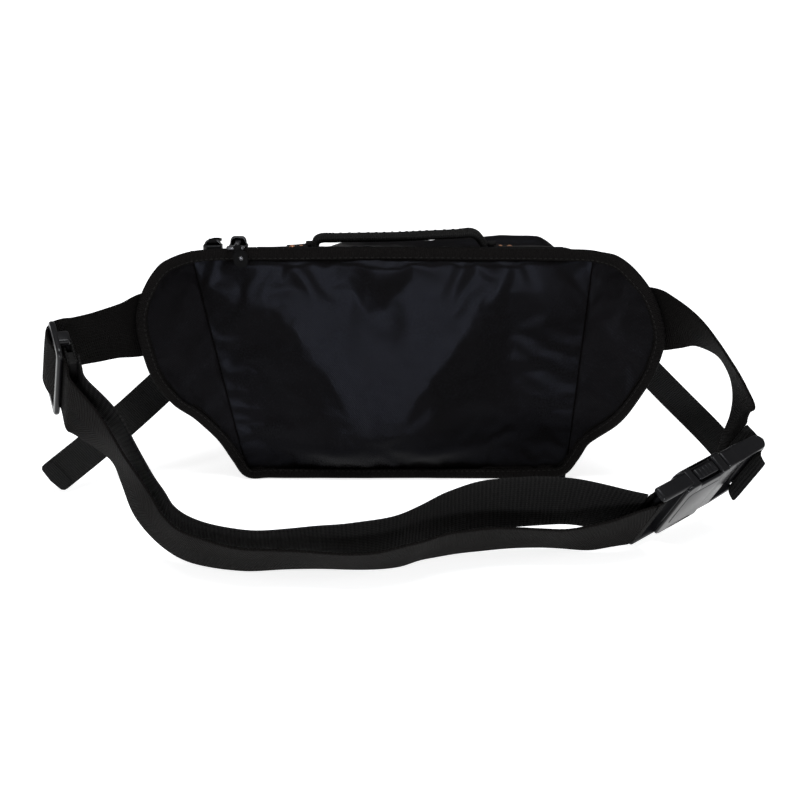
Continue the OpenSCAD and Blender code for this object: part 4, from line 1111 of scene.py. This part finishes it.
def pulls():
    """The top zip's sliders, the ring and tab on the left one, and the pull on the right one."""
    slider = box_mm("slider_a")
    zip_y = (slider[0].y + slider[1].y) / 2
    slider_z = slider[0].z
    eye_z = slider_z + SLIDER_PIN
    for node, rise in (("slider_a", 6.4), ("slider_b", 4.2)):
        low, high = box_mm(node)
        x = (low.x + high.x) / 2
        slider_body(node + "_cast", node, node, Matrix.Translation((x, zip_y, slider_z)), 11, rise, zip_drop(x))
    ring = box_mm("pull_ring_a")
    x = (ring[0].x + ring[1].x) / 2
    tab_y = ring[0].y + 0.7
    bm = bmesh.new()
    rod(bm, (x - 1.3, zip_y, eye_z), (x + 1.3, zip_y, eye_z), 1.2, 18)

    def both_sides(side):
        left = [(x - s, y, radius) for s, y, radius in side]
        return rounded(left + [(x + s, y, radius) for s, y, radius in reversed(side)], 5)
    arm = both_sides([(1.7, zip_y - 0.6, 0.5), (1.2, tab_y + 5, 2), (5.1, tab_y + 3.4, 2.4), (5.1, tab_y - 0.7, 1.6)])
    window = both_sides([(0.5, tab_y + 8, 0.3), (0.5, tab_y + 3.4, 0.3), (3.7, tab_y + 2.2, 1.0),
                         (3.7, tab_y + 0.7, 0.6)])
    window_plate(bm, arm, window, eye_z - 0.8, eye_z + 0.8, 0.42, 3)
    mesh("ring_a_cast", bm, "ring_metal", "pull_ring_a", "pull_ring_a")
    lean = math.radians(14)
    tab = Frame((x + 1.4, tab_y, eye_z), (math.sin(lean), 0, -math.cos(lean)), (math.cos(lean), 0, math.sin(lean)))
    bm = bmesh.new()
    rod(bm, tab.at(0, -2.2, 0), tab.at(0, 2.2, 0), 1.6, 18)
    shape = mirrored([(0.4, -2.2, 0.6), (2.2, -2.6, 0.8), (3.4, -4.3, 1.6), (8.2, -4.2, 3), (11.4, -2.6, 2.2)])
    plate(bm, rounded(shape, 5), -0.85, 0.85, 0.5, 4, tab.matrix)
    mesh("tab_a_moulded", bm, "pull_plastic", "pull_tab_a", "pull_tab_a")
    bm = bmesh.new()
    bmesh.ops.create_uvsphere(bm, u_segments=18, v_segments=9, radius=1,
                              matrix=Matrix.Translation(tab.at(6.0, 0.4, 0.8)) @ Matrix.Diagonal((1.3, 0.6, 1.3, 1)))
    mesh("tab_a_stud", bm, "ring_metal", "pull_tab_a")
    low, high = box_mm("pull_b")
    x = (low.x + high.x) / 2
    droop = math.radians(9)
    lying = Frame((x, zip_y, eye_z), (0, math.cos(droop), -math.sin(droop)), (-1, 0, 0))
    shape = [(0.4, -1.9, 0.6), (6, -1.5, 2), (9, -2.8, 1.6), (20, -3.1, 2.2), (22, -1.8, 1.4)]
    ribbed_pull("pull_b", lying, shape, (13, 15, 17, 19), 2.4, 0.85, 2)


def pocket_zip():
    """The pocket's zip: tape, teeth, stitches, slider and pull."""
    low, high = box_mm("pocket_zip")
    middle = (low.z + high.z) / 2
    tape_y = low.y + 0.7
    sheet_piece("pocket_tape", lambda u, v: Vector((mix(low.x, high.x, u), tape_y, mix(low.z, high.z, v))),
                lambda u, v: Vector((mix(low.x, high.x, u), low.y, mix(low.z, high.z, v))), 60, 6,
                (high.x - low.x, high.z - low.z), "zip_tape", stands_for="pocket_zip", soft=0)
    for name, lean in (("pocket_teeth_low", -1), ("pocket_teeth_high", 1)):
        teeth(name, low.x + 2, high.x - 2, middle + 0.75 * lean, tape_y + 0.75, lean, out=(0, 1, 0))
    places = [(Vector((x, tape_y + 0.15, z)), (1, 0, 0), (0, 1, 0)) for x in range(int(low.x) + 2, int(high.x) - 1, 3)
              for z in (low.z + 1, high.z - 1)]
    stitches("pocket_zip_stitches", places, length=2.2, thick=0.4)
    slider = box_mm("pocket_slider")
    x = (slider[0].x + slider[1].x) / 2
    place = Frame((x, slider[0].y, middle), (1, 0, 0), (0, 0, -1)).matrix
    slider_body("pocket_slider_cast", "pocket_slider", "pocket_slider", place, 10)
    hang = Frame((x, slider[0].y + POCKET_EYE, middle), (0, 0, -1), (1, 0, 0))
    shape = [(0.4, -1.8, 0.6), (5, -1.6, 1.5), (8, -3.1, 1.6), (21.5, -3.3, 2.2), (24, -1.9, 1.5)]
    ribbed_pull("pocket_pull", hang, shape, (12, 14.5, 17, 19.5), 2, 0.9, 2.1)


# ---- belt ----
ADJUSTER = Frame((-179, -135, 98), (0.32, -0.8, -0.52), (0.2, -0.48, 0.854))
BUCKLE = Frame((130, -155, 23), (0.77, 0.62, 0.15), (0.29, -0.54, 0.79))
BELT_WIDTH = 38
BELT_THICK = 1.6
TAIL_WIDTH = 20
TAIL_THICK = 1.3


def on_adjuster(s, n=0.0):
    """A strap's row on the adjuster: along it and out of it."""
    return [*ADJUSTER.at(s, 0, n), 0.2, -0.48, 0.854]


OUTER_PATH = [[-125, -41.5, 101, 0, 0, 1], [-138, -52, 101, 0, 0, 1], [-149, -63.5, 101.5, 0.08, -0.1, 1],
              [-157, -78, 102.5, 0.15, -0.35, 0.93], [-167, -95, 103.5, 0.15, -0.45, 0.87],
              [-176.5, -110, 105, 0.18, -0.48, 0.86], on_adjuster(-17.6, -4), on_adjuster(-15.8, 1.5),
              on_adjuster(-11.2, 4.9), on_adjuster(-4, 5.1), on_adjuster(3.5, 2.9),
              on_adjuster(10, -0.1), on_adjuster(17.5, -0.3), on_adjuster(25.5),
              [-161, -160.5, 75.5, 0.5, -0.68, 0.52], [-152.5, -162, 67, 0.42, -0.8, 0.44],
              [-145, -163, 57.5, 0.35, -0.87, 0.38], [-139, -165, 46, 0.4, -0.82, 0.41],
              [-133, -168, 33.5, 0.36, -0.72, 0.59], [-122, -176, 22.5, 0.17, -0.67, 0.72],
              [-108, -183, 16.5, 0, -0.67, 0.74], [-83, -189, 13.5, 0, -0.75, 0.66], [-50, -189, 12.5, 0, -0.8, 0.6],
              [-15, -191, 12.5, 0.08, -0.81, 0.58], [2, -186, 13.5, 0.22, -0.73, 0.65],
              [18, -175, 13.7, 0.26, -0.7, 0.66], [36, -168, 13.6, 0.2, -0.73, 0.65],
              [60, -163, 13.2, 0.1, -0.77, 0.63], [86, -162.5, 12.7, 0, -0.8, 0.6],
              [104, -165, 15.5, 0.1, -0.7, 0.7], [117, -163.5, 18.5, 0.22, -0.6, 0.76],
              [127.6, -160.4, 20.1, 0.29, -0.54, 0.79]]
RETURN_PATH = [on_adjuster(8, -8), on_adjuster(17, -8), on_adjuster(26, -8.2), [-152, -150, 73, 0.45, -0.72, 0.53],
               [-143, -153, 61, 0.38, -0.83, 0.4], [-135.5, -157, 47, 0.42, -0.8, 0.42],
               [-128.5, -161.5, 35, 0.36, -0.72, 0.59], [-118, -169, 25.5, 0.17, -0.67, 0.72],
               [-104, -175, 20.5, 0.05, -0.7, 0.72], [-82, -179.5, 18, 0.05, -0.73, 0.68],
               [-50, -177, 17, 0, -0.7, 0.71], [-25, -175.5, 17, 0, -0.62, 0.78], [-5, -172, 18, 0.05, -0.58, 0.81],
               [11, -162.5, 20.5, 0.03, -0.55, 0.83], [26, -157.5, 25, -0.02, -0.5, 0.86],
               [43, -154, 28, -0.02, -0.44, 0.9], [65, -151.5, 29, 0.01, -0.43, 0.9],
               [87, -150.5, 29, 0.06, -0.48, 0.87], [104, -151, 26.5, 0.15, -0.52, 0.84],
               [115, -153.5, 25, 0.25, -0.53, 0.8], [123.7, -156.6, 24.2, 0.29, -0.54, 0.79]]
RIGHT_PATH = [[124, -40.5, 102, 0, 0, 1], [138, -52, 103, 0, 0, 1], [147, -61.5, 104.5, -0.1, -0.1, 0.99],
              [155, -75, 106, -0.2, -0.4, 0.89], [164, -86, 104.5, -0.15, -0.75, 0.65], [173, -93, 98, -0.1, -0.9, 0.4],
              [180, -97.5, 90, -0.05, -0.97, 0.22], [186, -101, 79, 0, -0.98, 0.18], [189, -103, 69, 0.08, -0.95, 0.25],
              [188.8, -102, 62, 0.13, -0.88, 0.4], [187, -99.5, 56, 0.2, -0.75, 0.6]]


# the right strap's end: round the male bar and out under the head, as distances along and out of the buckle
FEMALE_BAR, MALE_BAR, BAR_BEND = 0, 77.7, 3.4


def round_bar(bar, angles):
    """A strap's rows round one of the buckle's bars."""
    turns = [math.radians(angle) for angle in angles]
    return [[*BUCKLE.at(bar + BAR_BEND * math.cos(turn), 0, BAR_BEND * math.sin(turn)), *BUCKLE.y] for turn in turns]


def on_buckle(*spots):
    return [[*BUCKLE.at(s, 0, n), *BUCKLE.y] for s, n in spots]


MALE_FOLD = (on_buckle((81.3, -13), (81.2, -7)) + round_bar(MALE_BAR, (0, 30, 60, 85))
             + on_buckle((75.6, 4.4), (73.6, 6.2), (72.4, 8.8), (71.8, 12)))


def strap(name, rows, width, thick, finish, node, body="pack", steps=8, seed=1.0, waver=0.5, curl=0.7, splits=12,
          skip=(0, 0)):
    """A strap along rows; skip leaves out rows at its start and end that only give the curve its direction."""
    path = stations(rows, steps)
    path = path[skip[0] * steps:len(path) - skip[1] * steps]
    first = path[0].length
    for station in path:
        station.length -= first
    bm = bmesh.new()
    sweep(bm, path, flat_outline(width, thick, splits, 0.1), vary=limp(seed, waver, curl))
    piece = mesh(name, bm, finish, body, node)
    return soften(piece), path


def cross_stitches(path, spot, width, rise, gap=2.6):
    """One row of stitches straight across a strap."""
    station = min(path, key=lambda s: abs(s.length - spot))
    count = int(width / gap)
    return [(station.at((i - (count - 1) / 2) * gap, rise, spot - station.length), station.across, station.out)
            for i in range(count)]


def bent_webbing(bm, place, rows, width, thick, splits):
    """Webbing bent along rows of (along, out) on a fitting."""
    path = stations([place.at(s, 0, n) for s, n in rows], 4, across=lambda along: place.y)
    sweep(bm, path, flat_outline(width, thick, splits, 0.1))


def belt():
    """The belt's straps outside its fittings."""
    _, outer = strap("outer_strap", OUTER_PATH, BELT_WIDTH, BELT_THICK, "belt_webbing", "belt_outer_layer", seed=1.4)
    strap("return_strap", RETURN_PATH, BELT_WIDTH, BELT_THICK, "return_webbing", "belt_return_layer", seed=2.7)
    piece, right = strap("right_strap", RIGHT_PATH + MALE_FOLD[:2], BELT_WIDTH, BELT_THICK, "belt_webbing",
                         "belt_right", body=None, seed=4.1, skip=(0, 1))
    BUCKLE.at(81, 0, -16) * MM
    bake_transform(piece)
    bend = round_bar(FEMALE_BAR, (-100, -60, -20, 20, 60, 100))
    strap("buckle_fold", RETURN_PATH[-2:] + bend + OUTER_PATH[:-3:-1], BELT_WIDTH, BELT_THICK, "belt_webbing",
          "belt_buckle_loop", steps=6, waver=0, curl=0, skip=(1, 1))
    rows = []
    for rise in (BELT_THICK / 2 + 0.15, -BELT_THICK / 2 - 0.15):
        for spot in (22, 25, 28):
            rows += cross_stitches(outer, spot, BELT_WIDTH - 4, rise)
            rows += cross_stitches(right, spot, BELT_WIDTH - 4, rise)
    stitches("belt_root_stitches", rows, length=2.0, thick=0.45)


def belt_fittings():
    """The straps sewn round the male buckle's bar and the adjuster's bar."""
    strap("male_fold", RIGHT_PATH[-1:] + MALE_FOLD, BELT_WIDTH, BELT_THICK, "return_webbing", "male_strap_wrap",
          "buckle_male", steps=5, waver=0, curl=0, skip=(1, 0))
    # the sewn loop on the adjuster's middle bar
    bm = bmesh.new()
    rows = ((15, -1.75), (6, -1.75), (0, -1.75), (-2.6, -1.9), (-3.9, -3.0), (-3.9, -4.7), (-2.6, -5.7), (0, -5.85),
            (6, -5.85), (15, -5.85))
    bent_webbing(bm, ADJUSTER, rows, BELT_WIDTH, 1.3, 12)
    block(bm, (6.5, 14.6), (-BELT_WIDTH / 2 + 0.6, BELT_WIDTH / 2 - 0.6), (-5.6, -2.0), 0.3, 2, ADJUSTER.matrix)
    soften(mesh("adjuster_fold", bm, "return_webbing", "adjuster", "adjuster_loop"))
    places = [(ADJUSTER.at(s, y, n), ADJUSTER.y, ADJUSTER.z) for s in (8.5, 12.5) for n in (-0.98, -6.62)
              for y in [-17 + 2.8 * i for i in range(13)]]
    stitches("adjuster_stitches", places, body="adjuster", length=2.1, thick=0.45)


def adjuster():
    """A slide adjuster: a rounded frame with its middle bar set behind."""
    low, high = 1.2, 3.4
    half, reach = 24.5, 13.6
    bm = bmesh.new()
    outside = rounded(mirrored([(-reach, -half, 5), (reach, -half, 5)]), 7)
    inside = rounded(mirrored([(-8.8, -19.8, 1.5), (8.8, -19.8, 1.5)]), 7)
    window_plate(bm, outside, inside, low - 0.3, high + 0.4, 1.1, 4, ADJUSTER.matrix)
    for end in (-1, 1):
        block(bm, (-4.2, 4.2), sorted((end * 19.9, end * 24.1)), (-4.9, 2.4), 1.6, 5, ADJUSTER.matrix)
    block(bm, (-2.4, 2.4), (-21.5, 21.5), (-4.9, -2.7), 0.8, 4, ADJUSTER.matrix)
    mesh("adjuster_moulded", bm, "fitting_plastic", "adjuster", "adjuster_frame")


def buckle_female():
    """The female half: two faces joined by side walls, open at the latches, with rails out to the belt's bar."""
    bm = bmesh.new()
    half, rise, cavity = 23, 6, 3.8
    for sign in (-1, 1):
        outline = mirrored([(13.5, -half + 2.4, 3.5), (17, -half, 5), (24, -half, 0.8), (24.6, -half + 2.6, 0.8),
                            (40.4, -half + 2.6, 0.8), (41, -half, 0.8), (47, -half, 1.5)])
        low, high = (cavity, rise) if sign > 0 else (-rise, -cavity)
        plate(bm, rounded(outline, 5), low, high, 0.9, 4, BUCKLE.matrix)
        face = sign * (rise - 0.5)
        plate(bm, rounded(mirrored([(19, -15, 4), (44, -15, 4)]), 5), face - 0.7, face + 0.7, 0.45, 3, BUCKLE.matrix)
    block(bm, (13.8, 18), (-half + 1.4, half - 1.4), (-rise + 0.4, rise - 0.4), 1.6, 4, BUCKLE.matrix)
    for end in (-1, 1):
        wall = sorted((end * 19.1, end * 23))
        for reach in ((18.6, 24.3), (40.8, 46.9)):
            block(bm, reach, wall, (-rise + 0.1, rise - 0.1), 1.5, 5, BUCKLE.matrix)
        block(bm, (-3.6, 20.2), sorted((end * 19.6, end * 23.3)), (-4.4, 4.4), 1.8, 6, BUCKLE.matrix)
    rod(bm, BUCKLE.at(FEMALE_BAR, -22.6, 0), BUCKLE.at(FEMALE_BAR, 22.6, 0), 2.3, 24, 0.5)
    mesh("female_moulded", bm, "fitting_plastic", stands_for="buckle_female")


LATCH_ARM = ((50, 11.0, 1.2), (50, 15.6, 1.8), (41, 16.2, 2.5), (39.9, 22.9, 1.4), (25.2, 22.9, 1.4), (24.6, 17, 2),
             (22, 14.6, 1.2), (22, 11.8, 0.8), (34, 12.2, 3))


def buckle_male():
    """The male half: a head with two rails out to the strap's bar, the guide tongue and the two latch arms."""
    bm = bmesh.new()
    half, rise = 22.6, 5.2
    plate(bm, rounded(mirrored([(47.4, -half, 1.5), (58.5, -half, 2)]), 5), -rise, rise, 1.5, 4, BUCKLE.matrix)
    for end in (-1, 1):
        y = sorted((end * 19.3, end * half))
        rail = rounded([(56, -rise, 1.0), (78, -4.4, 4.2), (80.2, 0, 2.5), (78, 4.4, 4.2), (56, rise, 1.0)], 5)
        on_edge = Frame(BUCKLE.at(0, y[1], 0), BUCKLE.x, BUCKLE.z)
        plate(bm, rail, 0, y[1] - y[0], 0.9, 4, on_edge.matrix)
    rod(bm, BUCKLE.at(MALE_BAR, -22, 0), BUCKLE.at(MALE_BAR, 22, 0), 2.3, 24, 0.5)
    block(bm, (17, 48.4), (-3.4, 3.4), (-3.3, 3.3), 0.9, 3, BUCKLE.matrix)
    mesh("male_moulded", bm, "fitting_plastic", "buckle_male", "buckle_male")
    for end, node, body in ((-1, "buckle_latch_near", "latch_near"), (1, "buckle_latch_far", "latch_far")):
        bm = bmesh.new()
        arm = rounded([(x, end * y, radius) for x, y, radius in LATCH_ARM][::-end], 5)
        plate(bm, arm, -3.35, 3.35, 0.7, 4, BUCKLE.matrix)
        for s in (28.5, 31.2, 33.9, 36.6):
            block(bm, (s - 0.45, s + 0.45), sorted((end * 22.2, end * 23.25)), (-2.4, 2.4), 0.35, 2, BUCKLE.matrix)
        mesh(node + "_moulded", bm, "fitting_plastic", body, node)


# ---- compression webbing ----
LOCK_Y = 2
LOCK_SHARE = (0.668, 0.711)
LOCK_LIFT = 5
PLY_RISE = 3.35


def on_gusset(side, y, v):
    """A spot on a gusset's cloth."""
    return Vector((side_x(side, y, v), y, mix(BASE_Z, top_z(y) - FABRIC - 0.2, v)))


def lock_frame(side):
    """A ladder lock's own axes: along its webbing, across it, and out from the gusset."""
    share = LOCK_SHARE[side]
    along = on_gusset(side, LOCK_Y - 8, share) - on_gusset(side, LOCK_Y + 8, share)
    up = on_gusset(side, LOCK_Y, share + 0.08) - on_gusset(side, LOCK_Y, share - 0.08)
    seat = Frame(on_gusset(side, LOCK_Y, share), along, up if side == LEFT else -up)
    return Frame(seat.at(0, 0, LOCK_LIFT), seat.x, seat.y)


LOCKS = lock_frame(LEFT), lock_frame(RIGHT)


def on_lock(side, s, n):
    """A strap's row on a ladder lock: along it and out of it."""
    lock = LOCKS[side]
    up = lock.y if side == LEFT else -lock.y
    return [*lock.at(s, 0, n), *up]


def compression(side):
    """One side's compression webbing: the tail, the strap sewn to the wing, the ladder lock and its tab."""
    side_name = "left" if side == LEFT else "right"
    if side == LEFT:
        tail = [on_lock(0, -1, PLY_RISE), on_lock(0, 5, PLY_RISE + 0.1), on_lock(0, 12, PLY_RISE + 2.4),
                [-121.5, -15.5, 80.5, -0.36, 0.2, 0.9], [-131, -23, 66, -0.66, 0.22, 0.7],
                [-150, -36, 49.5, -0.7, 0.22, 0.68], [-177, -50, 28, -0.7, 0.22, 0.68],
                [-205, -66, 8, -0.7, 0.22, 0.68]]
        held = [[-125, -38.6, 98.5, 0, 0, 1], [-115, -25, 94.5, 0, 0.1, 1], on_lock(0, 12, -PLY_RISE),
                on_lock(0, -1, -PLY_RISE)]
    else:
        tail = [on_lock(1, -1, PLY_RISE), on_lock(1, 5, PLY_RISE + 0.1), on_lock(1, 10.5, PLY_RISE + 1.1),
                [119.9, -14.9, 87.9, 0.3, -0.3, 0.9], [140, -26, 72, 0.48, -0.48, 0.73],
                [163, -33, 50, 0.51, -0.5, 0.7], [185, -40, 29, 0.51, -0.5, 0.7],
                [203, -46, 10, 0.51, -0.5, 0.7]]
        held = [[127, -38.6, 101, 0, 0, 1], [115.5, -25, 98.5, 0, 0.1, 1], on_lock(1, 12, -PLY_RISE),
                on_lock(1, -1, -PLY_RISE)]
    _, path = strap(side_name + "_tail_strap", tail, TAIL_WIDTH, TAIL_THICK, "narrow_webbing", "tail_" + side_name,
                    seed=6 + side, waver=0.5, curl=0.5, splits=8)
    end = path[-1].length
    bm = bmesh.new()
    hem = [station for station in path if station.length > end - 13]
    turned = [(s, n - TAIL_THICK) for s, n in flat_outline(TAIL_WIDTH - 0.6, TAIL_THICK, 8, 0.1)]
    sweep(bm, hem, turned, vary=limp(6 + side, 0.5, 0.5))
    soften(mesh(side_name + "_tail_hem", bm, "narrow_webbing"))
    rows = []
    for rise in (TAIL_THICK / 2 + 0.12, -TAIL_THICK * 1.5 - 0.12):
        for spot in (end - 10.5, end - 2.2):
            rows += cross_stitches(path, spot, TAIL_WIDTH - 3, rise)
    stitches(side_name + "_tail_stitches", rows, length=2.0, thick=0.4)
    strap(side_name + "_held_strap", held, TAIL_WIDTH, TAIL_THICK, "narrow_webbing", "side_strap_" + side_name,
          seed=8 + side, waver=0.3, curl=0.3, splits=8)
    lock = LOCKS[side]
    bm = bmesh.new()
    half = TAIL_WIDTH / 2
    for edge in (-1, 1):
        y = sorted((edge * (half + 0.6), edge * (half + 2.6)))
        block(bm, (-9, 9), y, (-2.4, 2.4), 0.8, 4, lock.matrix)
    for low, high in ((-9, -7), (-1.4, 1.4), (7, 9)):
        block(bm, (low, high), (-half - 1.6, half + 1.6), (-2.2, 2.2), 0.7, 3, lock.matrix)
    mesh(side_name + "_lock_moulded", bm, "fitting_plastic", stands_for="ladder_lock_" + side_name)
    # the sewn tab that holds the lock to the gusset
    bm = bmesh.new()
    rows = ((-30, -4.2), (-22, -4.2), (-12, -4.2), (-7.5, -4.0), (-6.1, -2.6), (-6.0, 0), (-6.1, 2.4), (-7.2, 3.3),
            (-9.6, 3.2), (-11.6, 1.6), (-14.2, -1.6), (-16.5, -2.9), (-22, -3.0), (-29, -3.0))
    bent_webbing(bm, lock, rows, TAIL_WIDTH - 0.8, 1.2, 8)
    soften(mesh(side_name + "_tab_strap", bm, "narrow_webbing", stands_for="lock_tab_" + side_name))
    places = [(lock.at(s, y, -2.25), lock.y, lock.z) for s in (-27.5, -18.5)
              for y in [-7.8 + 2.6 * i for i in range(7)]]
    places += [(lock.at(-26 + 2.6 * i, y, -2.25), lock.x, lock.z) for i in range(3) for y in (-7.8, 7.8)]
    stitches(side_name + "_tab_stitches", places, length=2.0, thick=0.4)


# ---- floor and light ----
def set_stage():
    """A white floor that shows soft shadows, white surroundings and four lamps."""
    bm = bmesh.new()
    bmesh.ops.create_grid(bm, x_segments=1, y_segments=1, size=6)
    data = bpy.data.meshes.new("floor")
    bm.to_mesh(data)
    bm.free()
    floor = bpy.data.objects.new("floor", data)
    bpy.context.scene.collection.objects.link(floor)
    paper = Finish("floor_paper", Roughness=0.9, Specular_IOR_Level=0, Base_Color=(0.8, 0.8, 0.8, 1))
    distance = paper.node("ShaderNodeVectorMath", {"operation": "LENGTH"}, {0: paper.place()}, out=1)
    backdrop = paper.blend(((distance - 0.35) * 2).at_least(0).at_most(1), (0.80, 0.80, 0.80), (1, 1, 1))
    glow = paper.node("ShaderNodeBsdfPrincipled", {},
                      {"Base Color": (0.8, 0.8, 0.8), "Roughness": 0.9, "Specular IOR Level": 0,
                       "Emission Color": backdrop, "Emission Strength": 1})
    rays = [paper.node("ShaderNodeLightPath", {}, {}, out=ray)
            for ray in ("Is Camera Ray", "Is Glossy Ray", "Is Transmission Ray")]
    lit = paper.node("ShaderNodeMixShader", {}, {0: rays[0].at_least(rays[1]).at_least(rays[2]),
                                                 1: Value(paper, paper.shader.outputs[0]), 2: glow})
    paper.feed(paper.tree.nodes["Material Output"].inputs["Surface"], lit)
    data.materials.append(paper.material)
    world = bpy.data.worlds.new("studio")
    world.use_nodes = True
    bpy.context.scene.world = world
    back = world.node_tree.nodes["Background"]
    back.inputs["Color"].default_value = (1, 1, 1, 1)
    back.inputs["Strength"].default_value = 0.25
    set_lamp("overhead", (0.0, -0.45, 1.3), (0, -0.05, 0.05), (0.8, 0.5), 11, (0.94, 0.97, 1))
    set_lamp("low_front", (0.0, -1.6, 0.12), (0, -0.05, 0.06), (0.4, 0.16), 15, (0.92, 0.95, 1))
    set_lamp("front_left", (-1.1, -0.9, 0.9), (0, -0.05, 0.06), (0.4, 0.5), 1.5)
    set_lamp("front_right", (1.1, -0.8, 0.7), (0, -0.1, 0.05), (0.4, 0.5), 2)
    bpy.context.scene.view_settings.view_transform = "Standard"


FINISHES = make_finishes()
set_camera()
back_panel()
wing(LEFT, LEFT_RIM)
wing(RIGHT, RIGHT_RIM)
bound_edge("back_tape", to_height(BINDING_PATH), 12, 6.8, 4.8, "back_binding", 0.35)
bound_edge("front_tape", [[x, FRONT_Y + 1.6, z] for x, z in FRONT_PATH], 10, 5.2, 3.0, "front_binding", 0.15)
gusset(LEFT)
gusset(RIGHT)
base_and_front()
pocket()
pocket_zip()
top_zip()
top()
handle()
pulls()
belt()
belt_fittings()
adjuster()
buckle_female()
buckle_male()
compression(LEFT)
compression(RIGHT)
set_stage()
